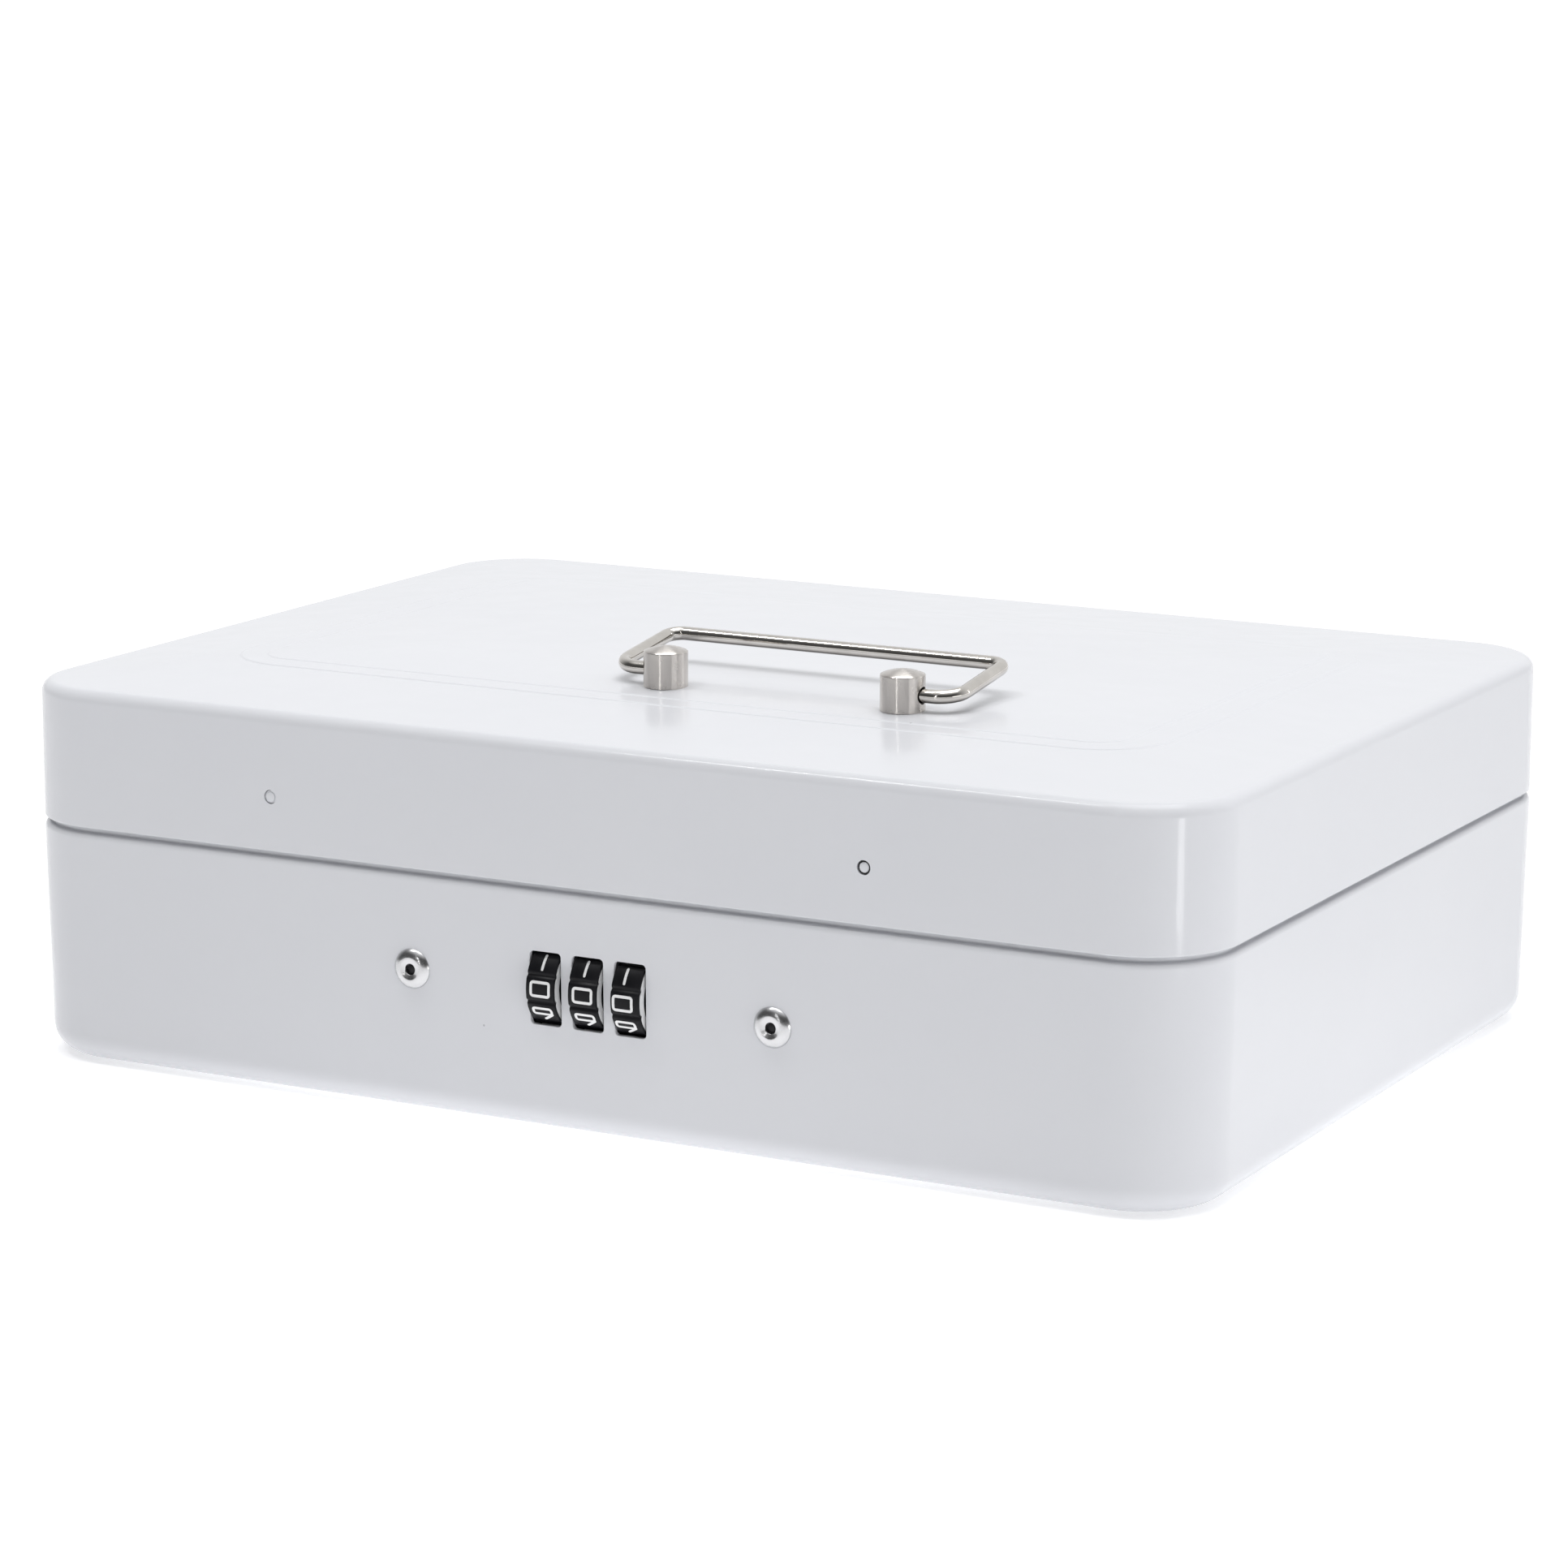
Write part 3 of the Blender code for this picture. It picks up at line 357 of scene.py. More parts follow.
def rounded_rectangle(half_x, half_y, radius, steps=PLAN_STEPS):
    points = []
    for sx, sy, start in ((1, 1, 0), (-1, 1, 90), (-1, -1, 180), (1, -1, 270)):
        points += arc(sx * (half_x - radius), sy * (half_y - radius), radius, start, start + 90, steps)
    return points


def between(first, second, share):
    return tuple(a + (b - a) * share for a, b in zip(first, second))


def drawn_shell(name, rings, material):
    """A sheet shell closed by its first ring and open at its last, SHEET thick to the inside."""
    bm = bmesh.new()
    loops = []
    for half_x, half_y, radius, z in rings:
        loops.append([bm.verts.new((x, y, z)) for x, y in rounded_rectangle(half_x, half_y, radius)])
    skin(bm, loops)
    bm.faces.new(loops[0])
    obj = link_mesh(name, bm, material)
    outward = -1 if rings[0][3] < rings[-1][3] else 1
    widest = max(obj.data.polygons, key=lambda face: face.area)
    flat = obj.data.polygons[-1] if abs(widest.normal.z) < 0.5 else widest
    if flat.normal.z * outward < 0:
        obj.data.flip_normals()
    solidify = obj.modifiers.new("Solidify", "SOLIDIFY")
    solidify.thickness = SHEET
    solidify.offset = -1
    solidify.use_even_offset = True
    bake(obj)
    return obj


def turned(name, axis, origin, profile, material, steps=64, sharp=35):
    """A turned piece. Its profile, (radius, distance along the axis), runs from pole to pole or is a ring."""
    bm = bmesh.new()
    rows = []
    for radius, height in profile:
        if radius < SAME_PLACE:
            rows.append([bm.verts.new((0, 0, height))])
            continue
        angles = [2 * math.pi * i / steps for i in range(steps)]
        rows.append([bm.verts.new((radius * math.cos(a), radius * math.sin(a), height)) for a in angles])
    for first, second in zip(rows, rows[1:]):
        for i in range(steps):
            j = (i + 1) % steps
            corners = [first[i % len(first)], first[j % len(first)]]
            corners += [second[j % len(second)], second[i % len(second)]]
            unique = list(dict.fromkeys(corners))
            if len(unique) > 2:
                bm.faces.new(unique)
    bmesh.ops.remove_doubles(bm, verts=bm.verts, dist=SAME_PLACE)
    turn = {"X": Matrix.Rotation(math.radians(90), 4, "Y"), "Y": Matrix.Rotation(math.radians(-90), 4, "X"),
            "Z": Matrix.Identity(4)}[axis]
    bmesh.ops.transform(bm, matrix=turn, verts=bm.verts)
    obj = link_mesh(name, bm, material, sharp)
    obj.location = origin
    return obj


def wire(name, points, radius, material):
    """A round wire along a list of points, flat at both ends."""
    curve = bpy.data.curves.new(name, "CURVE")
    curve.dimensions = "3D"
    curve.bevel_depth = radius
    curve.bevel_resolution = 10
    curve.use_fill_caps = True
    spline = curve.splines.new("POLY")
    spline.points.add(len(points) - 1)
    for point, spot in zip(spline.points, points):
        point.co = (*spot, 1.0)
    drawn = bpy.data.objects.new(name, curve)
    bpy.context.scene.collection.objects.link(drawn)
    bpy.context.view_layer.update()
    graph = bpy.context.evaluated_depsgraph_get()
    mesh = bpy.data.meshes.new_from_object(drawn.evaluated_get(graph))
    bpy.data.objects.remove(drawn, do_unlink=True)
    bm = bmesh.new()
    bm.from_mesh(mesh)
    bmesh.ops.remove_doubles(bm, verts=bm.verts, dist=SAME_PLACE)
    bpy.data.meshes.remove(mesh)
    return link_mesh(name, bm, material, 50)


def cut(target, cutters):
    """Take the cutters' shapes out of the target, then even out its shading."""
    for tool in cutters:
        modifier = target.modifiers.new("Cut", "BOOLEAN")
        modifier.operation = "DIFFERENCE"
        modifier.solver = "EXACT"
        modifier.object = tool
    bake(target)
    for tool in cutters:
        bpy.data.objects.remove(tool, do_unlink=True)
    target.data.set_sharp_from_angle(angle=math.radians(35))
    even_normals(target, "Even")
    bake(target)
    return target


def rod_cutter(axis, centre, radius, length):
    half = length / 2
    profile = [(0, half), (radius, half), (radius, -half), (0, -half)]
    return turned("cutter", axis, centre, profile, paint)


# ---------------------------------------------------------------- base and lid
def inset_ring(inset, z):
    """A ring of a shell: half x, half y, corner radius and height."""
    return (HALF_X - inset, HALF_Y - inset, PLAN_R - inset, z)


def window_cutter(x, z):
    """A round-cornered window, square to the leaning wall, with a slightly eased outer edge."""
    width, height = WINDOW_SIZE
    corner, ease, reach = 0.9 * MM, 0.22 * MM, 4 * MM
    sections = ((reach, 0), (ease, 0), (ease * 0.35, ease * 0.35), (-ease * 0.02, ease), (-ease, 2 * ease))
    bm = bmesh.new()
    loops = []
    for depth, grow in sections:
        outline = rounded_rectangle(width / 2 + grow, height / 2 + grow, corner + grow, 6)
        loops.append([bm.verts.new((u, depth, v)) for u, v in outline])
    skin(bm, loops)
    bm.faces.new(loops[0])
    bm.faces.new(loops[-1])
    obj = link_mesh("cutter", bm, paint)
    lean = math.atan2(DRAFT, SHOULDER_Z - BOTTOM_R)
    obj.matrix_world = Matrix.Translation((x, -(HALF_Y - wall_inset(z)), z)) @ Matrix.Rotation(lean, 4, "X")
    return obj


def base_shell():
    edge = arc(DRAFT + BOTTOM_R, BOTTOM_R, BOTTOM_R, 270, 180, 14)
    wall = [(wall_inset(z * MM), z * MM) for z in (12, 20, 28, 36, 44, 50)]
    shoulder = arc(SHOULDER_R, SHOULDER_Z, SHOULDER_R, 180, 90, 8)
    neck = arc(NECK_INSET - NECK_FILLET, SHOULDER_Z + SHOULDER_R + NECK_FILLET, NECK_FILLET, 270, 360, 4)
    profile = edge + wall + shoulder + neck + [(NECK_INSET, BASE_TOP)]
    shell = drawn_shell("base_shell_visual", [inset_ring(inset, z) for inset, z in profile], paint)
    tools = []
    for x, (number, _, _) in zip(WINDOW_XS, DIALS):
        tools.append(window_cutter(x, middle(f"dial_wheel_{number}").z))
    for side in ("left", "right"):
        spot = middle(f"blind_rivet_{side}")
        tools.append(rod_cutter("Y", (spot.x, -HALF_Y, spot.z), 2.7 * MM, 8 * MM))
    place(cut(shell, tools), "base", "white_paint", "base_shell")


def lid_rings():
    """Rings from the middle of the crowned field out over the band, the hipped margin and the edge."""
    rings = []
    reach, steps = 45 * MM, 12
    for i in range(steps + 1):
        inset = reach * (1 - i / steps) ** 1.3
        rise = 1 - (1 - inset / reach) ** 2
        half_x, half_y, radius = PANEL_INNER
        corner = max(radius - inset * 0.12, 4 * MM)
        rings.append((half_x - inset, half_y - inset, corner, FIELD_Z + (LID_CROWN - FIELD_Z) * rise))
    rings.pop()
    band = [(0, PANEL_FOOT_Z), (0.30, PANEL_FOOT_Z + 0.2 * (BAND_Z[0] - PANEL_FOOT_Z))]
    band += [(0.70, PANEL_FOOT_Z + 0.8 * (BAND_Z[0] - PANEL_FOOT_Z)), (1, BAND_Z[0])]
    outer = [(share * CREASE, z) for share, z in band]
    rise = FIELD_Z - BAND_Z[1]
    inner = [(1 - CREASE, BAND_Z[1]), (1 - 0.7 * CREASE, BAND_Z[1] + 0.2 * rise)]
    inner += [(1 - 0.3 * CREASE, BAND_Z[1] + 0.8 * rise), (1.0, FIELD_Z)]
    slope = (BAND_Z[1] - BAND_Z[0]) / (1 - 2 * CREASE)
    flat = [(share, BAND_Z[0] + slope * (share - CREASE)) for share in (0.3, 0.5, 0.7)]
    for share, z in reversed(outer + flat + inner):
        rings.append((*between(PANEL_OUTER, PANEL_INNER, share), z))
    top_ring = inset_ring(LID_EDGE_R, LID_EDGE_Z)
    foot = (*PANEL_OUTER, PANEL_FOOT_Z)
    margin_steps = 10
    for i in range(1, margin_steps):
        rings.append(between(foot, top_ring, i / margin_steps))
    edge = arc(LID_EDGE_R, LID_EDGE_Z - LID_EDGE_R, LID_EDGE_R, 90, 180, 12)
    walls = [(0.0, z * MM) for z in (80, 72, 64)]
    hem = arc(0.3 * MM, LID_FOOT + 0.3 * MM, 0.3 * MM, 180, 225, 3)
    rings += [inset_ring(inset, z) for inset, z in edge + walls + hem]
    return rings


def lid_shell():
    shell = drawn_shell("lid_shell_visual", lid_rings(), paint)
    tools = []
    for side in ("left", "right"):
        post = middle(f"handle_post_{side}")
        tools.append(rod_cutter("Z", (post.x, post.y, LID_CROWN), 2.5 * MM, 10 * MM))
        rivet = middle(f"strike_rivet_{side}")
        tools.append(rod_cutter("Y", (rivet.x, -HALF_Y, rivet.z), 1.62 * MM, 6 * MM))
    place(cut(shell, tools), "lid", "white_paint", "lid_shell")


# ---------------------------------------------------------------- handle
def handle_posts():
    """Domed posts, each with a blind cross hole for the bail and a tail riveted over its washer."""
    dome, ease = 1.3 * MM, 0.22 * MM
    for side, outward in (("left", -1), ("right", 1)):
        bottom, top = (corner[2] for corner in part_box(f"handle_post_{side}"))
        centre = middle(f"handle_post_{side}")
        profile = [(0, top)]
        for i in range(1, 9):
            radius = (POST_R - ease) * i / 8
            profile.append((radius, top - (dome - ease) * (i / 8) ** 2))
        profile += [(POST_R - 0.06 * MM, top - dome + 0.07 * MM), (POST_R, top - dome - ease)]
        foot, head = LID_CROWN - 0.62 * MM, bottom + 1.3 * MM
        profile += [(POST_R, foot), (POST_TAIL_R, foot), (POST_TAIL_R, head), (3.6 * MM, head)]
        profile += [(3.2 * MM, bottom + 0.6 * MM), (1.6 * MM, bottom + 0.1 * MM), (0, bottom)]
        origin = (centre.x, centre.y, 0)
        post = turned(f"handle_post_{side}_visual", "Z", origin, profile, post_nickel, 72, 25)
        start = centre.x - outward * 2.6 * MM
        stop = centre.x + outward * 8 * MM
        hole = rod_cutter("X", ((start + stop) / 2, centre.y, PIVOT.z), POST_BORE_R, abs(stop - start))
        place(cut(post, [hole]), "lid", "brushed_nickel", f"handle_post_{side}")


def handle_bail():
    """A wire bail: two ends on the pivot line, two bends, two arms, two corners and the bar."""
    half, reach, bend, corner = 43.0 * MM, 26.5 * MM, 5.5 * MM, 3.6 * MM
    end = middle("handle_post_right").x - PIVOT.x - 2.2 * MM
    flat = [(-end, 0.0)]
    flat += arc(-half + bend, bend, bend, 270, 180, 16)
    flat += arc(-half + corner, reach - corner, corner, 180, 90, 14)
    flat += arc(half - corner, reach - corner, corner, 90, 0, 14)
    flat += arc(half - bend, bend, bend, 0, -90, 16)
    flat += [(end, 0.0)]
    rise = math.radians(BAIL_RISE)
    points = [(x, out * math.cos(rise), out * math.sin(rise)) for x, out in flat]
    bail = wire("handle_bail_visual", points, WIRE_R, wire_nickel)
    bail.location = PIVOT
    place(bail, "handle", "nickel", "handle_bail")


# ---------------------------------------------------------------- rivets
def blind_rivets():
    """Domed flanges with a hollow middle, where the broken mandrel stands a little below the rim."""
    rim, hole = 4.6 * MM, 1.25 * MM
    for side in ("left", "right"):
        low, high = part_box(f"blind_rivet_{side}")
        centre = middle(f"blind_rivet_{side}")
        face = -(HALF_Y - wall_inset(centre.z)) - 0.03 * MM
        proud = face - low[1]
        profile = [(0, 0.1 * MM), (hole, 0.1 * MM), (hole, -proud * 0.55)]
        profile += arc(hole + 0.2 * MM, -proud * 0.62, 0.2 * MM, 180, 260, 4)
        profile += [(1.9 * MM, -proud * 0.84), (2.25 * MM, -proud * 0.97)]
        profile += [(2.5 * MM, -proud), (2.8 * MM, -proud * 0.98), (3.3 * MM, -proud * 0.86)]
        profile += [(3.8 * MM, -proud * 0.66)]
        profile += [(4.2 * MM, -proud * 0.42), (4.45 * MM, -proud * 0.2), (rim, -0.03 * MM), (rim, 0.02 * MM)]
        depth = high[1] - face
        profile += [(2.4 * MM, 0.02 * MM), (2.4 * MM, depth - 4.0 * MM), (3.3 * MM, depth - 3.4 * MM)]
        profile += [(3.3 * MM, depth - 1.0 * MM), (2.4 * MM, depth), (0, depth)]
        origin = (centre.x, face, centre.z)
        rivet = turned(f"blind_rivet_{side}_visual", "Y", origin, profile, rivet_aluminium, 56, 40)
        place(rivet, "base", "aluminium", f"blind_rivet_{side}")
        # The mandrel is coloured near black: painted shade in the rivet's hollow.
        pin_r, pin_end = hole - 0.06 * MM, 0.3 * MM
        pin = [(0, -proud * 0.30), (0.75 * MM, -proud * 0.26), (pin_r, -proud * 0.1)]
        pin += [(pin_r, pin_end), (0, pin_end)]
        place(turned(f"mandrel_{side}", "Y", origin, pin, shade_black_steel, 32), "base", "spring_steel")


def strike_rivets():
    """Small painted rivets in the lid's skirt; round the right one a thin near-black ring is painted shade.
    """
    body_r, clinch_r, rim_r = 1.47 * MM, 2.6 * MM, 1.46 * MM
    for side, sunk in SKIRT_RIVET_SUNK.items():
        centre = middle(f"strike_rivet_{side}")
        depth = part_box(f"strike_rivet_{side}")[1][1] + HALF_Y
        clinch = depth - 1.2 * MM
        profile = [(0, sunk), (0.8 * MM, sunk + 0.02 * MM), (1.1 * MM, sunk + 0.1 * MM)]
        profile += [(1.2 * MM, sunk + 0.3 * MM), (body_r, sunk + 0.32 * MM), (body_r, clinch)]
        profile += [(clinch_r, clinch), (clinch_r, depth - 0.8 * MM), (1.6 * MM, depth - 0.2 * MM)]
        profile.append((0, depth))
        origin = (centre.x, -HALF_Y, centre.z)
        place(turned(f"strike_rivet_{side}_visual", "Y", origin, profile, paint, 40), "lid", "white_paint",
              f"strike_rivet_{side}")
    # A thin near-black ring round the right rivet: painted shade in the gap round the sunk rivet.
    bed, inner_r, thick = 0.34 * MM, 1.17 * MM, 0.1 * MM
    ring = [(inner_r, bed), (rim_r, bed), (rim_r, bed + thick), (inner_r, bed + thick), (inner_r, bed)]
    centre = middle("strike_rivet_right")
    groove = turned("strike_rivet_shade_ring", "Y", (centre.x, -HALF_Y, centre.z), ring, shade_black_steel, 40)
    place(groove, "lid", "spring_steel")


# ---------------------------------------------------------------- dials
def bent(points, closed=False, radius=0.6 * MM, steps=5):
    """A polyline with its corners rounded."""
    count = len(points)
    path = []
    for i, corner in enumerate(points):
        corner = Vector(corner)
        if not closed and i in (0, count - 1):
            path.append(corner)
            continue
        before, after = Vector(points[i - 1]), Vector(points[(i + 1) % count])
        near = corner + (before - corner).normalized() * min(radius, (before - corner).length / 2)
        far = corner + (after - corner).normalized() * min(radius, (after - corner).length / 2)
        for k in range(steps + 1):
            t = k / steps
            path.append(near * (1 - t) ** 2 + corner * 2 * t * (1 - t) + far * t ** 2)
    return path


def numeral_strokes(digit):
    """The strokes of a wide outlined numeral, as (points, closed), across and up."""
    w, h = DIGIT_W, DIGIT_H
    left_top, right_top, right_low, left_low = (-w, h), (w, h), (w, -h), (-w, -h)
    left, right = (-w, 0), (w, 0)
    ring = [left_low, right_low, right_top, left_top]
    upper = [left, right, right_top, left_top]
    lower = [left_low, right_low, right, left]
    strokes = {
        0: [(ring, True)],
        1: [([(0, -h * 1.1), (0, h * 1.1)], False)],
        2: [([left_top, right_top, right, left, left_low, right_low], False)],
        3: [([left_top, right_top, right_low, left_low], False), ([(-w * 0.3, 0), right], False)],
        4: [([left_top, left, right], False), ([right_top, right_low], False)],
        5: [([right_top, left_top, left, right, right_low, left_low], False)],
        6: [(lower, True), ([left, (-w * 0.05, h)], False)],
        7: [([left_top, right_top, (w * 0.1, -h)], False)],
        8: [(ring, True), ([left, right], False)],
        9: [(upper, True), ([right, (w * 0.05, -h)], False)],
    }
    return strokes[digit]


def numerals(name, radius, lean):
    """All ten numerals as thin raised ribbons bent round the dial; 0 faces the front, 1 is above it."""
    bm = bmesh.new()

    def wrap(point, height, turn):
        angle = turn + point[1] / radius
        return (point[0], -(radius + height) * math.cos(angle), (radius + height) * math.sin(angle))

    for digit in range(DIGITS):
        turn = math.radians(360 / DIGITS * digit + lean)
        for points, closed in numeral_strokes(digit):
            path = bent(points, closed)
            ribbon(bm, refine(path, closed), closed, lambda p, height: wrap(p, height, turn))
    return link_mesh(name, bm, numeral_white, 50)


def refine(path, closed):
    """Split long steps so that a stroke can bend round the dial."""
    longest = 0.5 * MM
    fine = []
    pairs = list(zip(path, path[1:] + path[:1])) if closed else list(zip(path, path[1:]))
    for start, stop in pairs:
        count = max(1, math.ceil((stop - start).length / longest))
        fine += [start.lerp(stop, k / count) for k in range(count)]
    if not closed:
        fine.append(path[-1])
    return fine


def ribbon(bm, path, closed, wrap):
    """A stroke of constant width along the path, round at its ends, raised above the pad."""
    count, cap_steps = len(path), 8
    low, high = -0.12 * MM, 0.045 * MM
    rows = []
    for i, point in enumerate(path):
        before = path[i - 1] if closed or i > 0 else point
        after = path[(i + 1) % count] if closed or i < count - 1 else point
        along = (after - before).normalized()
        side = Vector((-along.y, along.x)) * STROKE
        row = [bm.verts.new(wrap(point + side, low)), bm.verts.new(wrap(point + side, high))]
        row += [bm.verts.new(wrap(point - side, high)), bm.verts.new(wrap(point - side, low))]
        rows.append(row)
    links = list(zip(rows, rows[1:] + rows[:1])) if closed else list(zip(rows, rows[1:]))
    for first, second in links:
        for k in range(3):
            bm.faces.new((first[k], first[k + 1], second[k + 1], second[k]))
    if closed:
        return
    for end, inner in ((0, 1), (-1, -2)):
        outward = (path[end] - path[inner]).normalized()
        side = Vector((-outward.y, outward.x)) * STROKE
        fan, skirt = [], []
        for k in range(cap_steps + 1):
            angle = math.pi * k / cap_steps
            spot = path[end] + side * math.cos(angle) + outward * STROKE * math.sin(angle)
            fan.append(bm.verts.new(wrap(spot, high)))
            skirt.append(bm.verts.new(wrap(spot, low)))
        bm.faces.new(fan)
        for k in range(cap_steps):
            bm.faces.new((fan[k], fan[k + 1], skirt[k + 1], skirt[k]))


def dial_tyre(name, radius, start, stop, lean):
    """The black numeral ring: ten slightly crowned pads with soft grooves between them."""
    steps, pad = 240, 360 / DIGITS
    groove, groove_spread, ease, bore = 0.42 * MM, 2.4, 0.22 * MM, 4.6 * MM
    recess = stop - 0.25 * MM
    section = [(start, 9.0 * MM - radius), (start, -ease), (start + 0.3 * ease, -0.3 * ease)]
    section += [(start + ease, 0), ((start + stop) / 2, 0.02 * MM), (stop - ease, 0)]
    section += [(stop - 0.3 * ease, -0.3 * ease), (stop, -ease), (stop, -0.6 * MM), (recess, -0.7 * MM)]
    section += [(recess, bore - radius), (start, bore - radius)]
    bm = bmesh.new()
    rows = []
    for i in range(steps):
        degrees = 360 * i / steps
        border = pad / 2 - abs(((degrees - lean + pad / 2) % pad) - pad / 2)
        drop = groove * math.exp(-((border / groove_spread) ** 2))
        angle = math.radians(degrees)
        row = []
        for x, offset in section:
            outer = offset > -1 * MM
            r = radius - PAD_DROP + offset - (drop if outer else 0)
            row.append(bm.verts.new((x, -r * math.cos(angle), r * math.sin(angle))))
        rows.append(row)
    for first, second in zip(rows, rows[1:] + rows[:1]):
        for k in range(len(section)):
            m = (k + 1) % len(section)
            bm.faces.new((first[k], first[m], second[m], second[k]))
    return link_mesh(name, bm, dial_black, 40)


def dials():
    """Three numeral rings, each on a pale cam sleeve whose flange shows beside it in the window."""
    disc, cam, thin, flange = 5.4 * MM, 5.7 * MM, 0.4 * MM, 9.30 * MM
    outer, bore, shade_ring_r, chamfer = 4.2 * MM, 2.3 * MM, 7.3 * MM, 0.1 * MM
    for x, (number, lean, shift) in zip(WINDOW_XS, DIALS):
        body = f"dial_{number}"
        spot = (x, SPINDLE.y, SPINDLE.z)
        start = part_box(f"dial_wheel_{number}")[0][0] - x
        stop = -start
        tyre = dial_tyre(f"dial_wheel_{number}_visual", DIAL_R, start, stop, lean)
        tyre.location = spot
        place(tyre, body, "dial_black", f"dial_wheel_{number}")
        marks = numerals(f"numerals_{number}", DIAL_R - PAD_DROP, lean)
        marks.location = (x + shift, SPINDLE.y, SPINDLE.z)
        place(marks, body, "cam_white")
        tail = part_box(f"cam_sleeve_{number}")[1][0] - x
        back = stop - 0.24 * MM
        profile = [(bore, tail), (outer, tail), (outer, disc + thin), (cam, disc + thin), (cam, disc - thin)]
        profile += [(outer, disc - thin), (outer, stop), (flange - chamfer, stop), (flange, stop - chamfer)]
        profile += [(flange, back), (outer, back), (outer, start), (bore, start), (bore, tail)]
        sleeve = turned(f"cam_sleeve_{number}_visual", "X", spot, profile, sleeve_white, 96)
        place(sleeve, body, "cam_white", f"cam_sleeve_{number}")
        face, seat = stop + 0.03 * MM, stop - chamfer
        # A near-black ring on the flange's face, a little proud of it: painted shade where the window's depth
        # shades the flange.
        ring = [(outer, seat), (outer, face), (shade_ring_r, face), (shade_ring_r, seat), (outer, seat)]
        place(turned(f"sleeve_shade_ring_{number}", "X", spot, ring, dial_black, 72), body, "dial_black")


# ---------------------------------------------------------------- carried-over CAD nodes
NODE_MATERIALS = {
    "zinc": zinc, "spring_steel": spring_steel, "nickel": wire_nickel, "tray_black": tray_black,
    "white_paint": paint, "aluminium": rivet_aluminium, "brushed_nickel": post_nickel,
    "dial_black": dial_black, "cam_white": sleeve_white,
}
SLOT_OF = {part["node"]: part["material_slot"] for part in frame["record"]["subparts"]}


def smoothing_by_angle(degrees):
    """A modifier group that shades rounds smooth and leaves edges steeper than the angle sharp."""
    group = bpy.data.node_groups.new("smoothing", "GeometryNodeTree")
    group.interface.new_socket("Geometry", in_out="INPUT", socket_type="NodeSocketGeometry")
    group.interface.new_socket("Geometry", in_out="OUTPUT", socket_type="NodeSocketGeometry")
    start, end = group.nodes.new("NodeGroupInput"), group.nodes.new("NodeGroupOutput")
    angle = group.nodes.new("GeometryNodeInputMeshEdgeAngle")
    gentle = group.nodes.new("FunctionNodeCompare")
    gentle.operation = "LESS_THAN"
    gentle.inputs["B"].default_value = math.radians(degrees)
    group.links.new(angle.outputs["Unsigned Angle"], gentle.inputs["A"])
    edges, faces = (group.nodes.new("GeometryNodeSetShadeSmooth") for _ in range(2))
    edges.domain, faces.domain = "EDGE", "FACE"
    group.links.new(start.outputs[0], edges.inputs["Geometry"])
    group.links.new(gentle.outputs["Result"], edges.inputs["Shade Smooth"])
    group.links.new(edges.outputs["Geometry"], faces.inputs["Geometry"])
    group.links.new(faces.outputs["Geometry"], end.inputs[0])
    return group


SMOOTHING = smoothing_by_angle(35)


def carried_over():
    """The CAD nodes shown as they are: joined up, slightly eased at their edges and smoothly shaded."""
    for name, obj in frame["nodes"].items():
        obj.data.materials.clear()
        obj.data.materials.append(NODE_MATERIALS[SLOT_OF[name]])
        if obj.hide_render:
            continue
        obj.modifiers.new("Weld", "WELD").merge_threshold = 0.001 * MM
        bevel = obj.modifiers.new("Bevel", "BEVEL")
        bevel.width = 0.12 * MM
        bevel.segments = 2
        bevel.limit_method = "ANGLE"
        bevel.angle_limit = math.radians(50)
        obj.modifiers.new("Smooth", "NODES").node_group = SMOOTHING
        even_normals(obj, "Weighted Normal")


# ---------------------------------------------------------------- camera, floor and light
def camera():
    data = bpy.data.cameras.new("camera")
    data.sensor_width = 36.0
    data.lens = CAMERA_LENS
    data.clip_end = 20
    obj = bpy.data.objects.new("camera", data)
    bpy.context.scene.collection.objects.link(obj)
    yaw, pitch, roll = (math.radians(angle) for angle in CAMERA_TURN)
    ahead = Vector((math.sin(yaw) * math.cos(pitch), math.cos(yaw) * math.cos(pitch), -math.sin(pitch)))
    level = ahead.cross(Vector((0, 0, 1))).normalized()
    upright = level.cross(ahead)
    right = math.cos(roll) * level + math.sin(roll) * upright
    up = -math.sin(roll) * level + math.cos(roll) * upright
    turn = Matrix((right, up, -ahead)).transposed().to_4x4()
    obj.matrix_world = Matrix.Translation(CAMERA_SPOT) @ turn
    bpy.context.scene.camera = obj


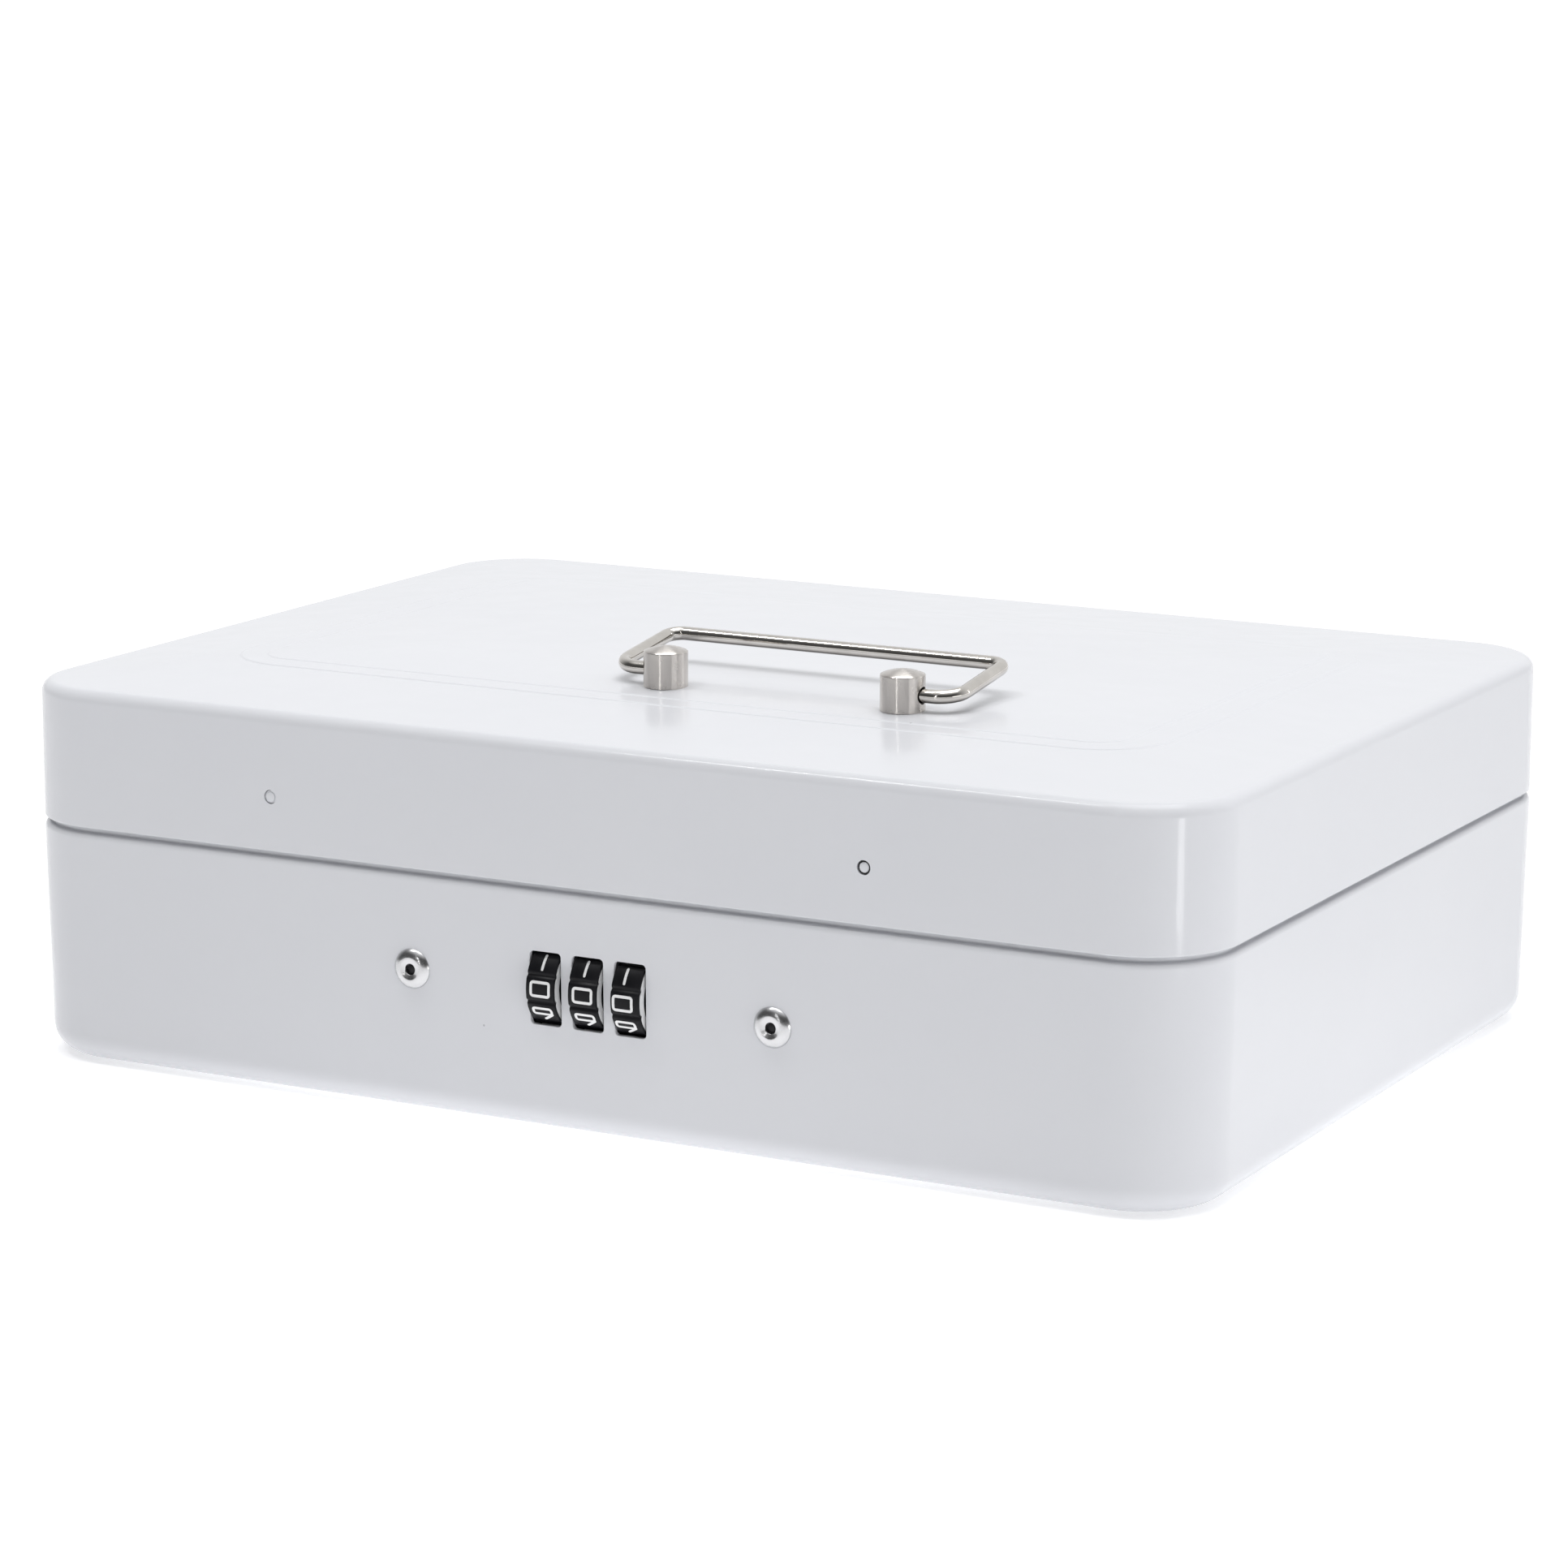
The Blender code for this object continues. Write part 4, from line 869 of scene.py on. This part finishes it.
def floor():
    """A pale studio floor that glows near the box, as bounce light, and far off, as an even backdrop."""
    bm = bmesh.new()
    bmesh.ops.create_grid(bm, x_segments=1, y_segments=1, size=6.0)
    n = Nodes("studio_floor")
    n.link(n.mix(n.noise(3, 2), (0.90, 0.90, 0.905), (0.92, 0.92, 0.925)), n.bsdf.inputs["Base Color"])
    n.set(Roughness=0.9, Emission_Color=(1.0, 1.0, 1.0, 1.0))
    near = n.add("ShaderNodeTexGradient", gradient_type="SPHERICAL")
    n.link(n.coordinates((3.9, 4.5, 4.5)), near.inputs["Vector"])
    far = n.add("ShaderNodeTexGradient", gradient_type="SPHERICAL")
    n.link(n.coordinates((0.5, 0.5, 0.5)), far.inputs["Vector"])
    glow = n.math("ADD", n.spread(near.outputs["Fac"], 0.05, 0.48, 0.0, 0.5),
                  n.spread(far.outputs["Fac"], 0.5, 0.0, 0.0, 1.0))
    n.link(glow, n.bsdf.inputs["Emission Strength"])
    obj = link_mesh("floor", bm, n.material)
    obj.location = (0, 0, -0.0002)


def softbox(name, centre, target, size, power, seen):
    data = bpy.data.lights.new(name, "AREA")
    data.shape = "RECTANGLE"
    data.size, data.size_y = size
    data.energy = power
    obj = bpy.data.objects.new(name, data)
    bpy.context.scene.collection.objects.link(obj)
    obj.location = centre
    obj.rotation_euler = (Vector(target) - Vector(centre)).to_track_quat("-Z", "Y").to_euler()
    obj.visible_camera = seen


def world():
    """An even white tent, dimmer on the camera's side so that metal shows dark bands."""
    made = bpy.data.worlds.new("studio")
    made.use_nodes = True
    bpy.context.scene.world = made
    tree = made.node_tree
    background = tree.nodes["Background"]
    direction = tree.nodes.new("ShaderNodeTexCoord")
    split = tree.nodes.new("ShaderNodeSeparateXYZ")
    tree.links.new(direction.outputs["Generated"], split.inputs[0])
    brighter = tree.nodes.new("ShaderNodeMath")
    brighter.operation = "MAXIMUM"
    for socket, axis, start, stop in ((0, "Y", -0.45, 0.75), (1, "Z", 0.55, 0.95)):
        share = tree.nodes.new("ShaderNodeMapRange")
        share.interpolation_type = "SMOOTHSTEP"
        share.inputs["From Min"].default_value = start
        share.inputs["From Max"].default_value = stop
        tree.links.new(split.outputs[axis], share.inputs["Value"])
        tree.links.new(share.outputs["Result"], brighter.inputs[socket])
    strength = tree.nodes.new("ShaderNodeMapRange")
    strength.inputs["To Min"].default_value = 0.08
    strength.inputs["To Max"].default_value = 0.82
    tree.links.new(brighter.outputs[0], strength.inputs["Value"])
    background.inputs["Color"].default_value = (0.985, 0.99, 1.0, 1.0)
    tree.links.new(strength.outputs["Result"], background.inputs["Strength"])


# ---------------------------------------------------------------- assembly
base_shell()
lid_shell()
handle_posts()
handle_bail()
blind_rivets()
strike_rivets()
dials()
carried_over()
camera()
floor()
world()
for light in LIGHTS:
    softbox(*light)
bpy.context.scene.view_settings.view_transform = "Standard"
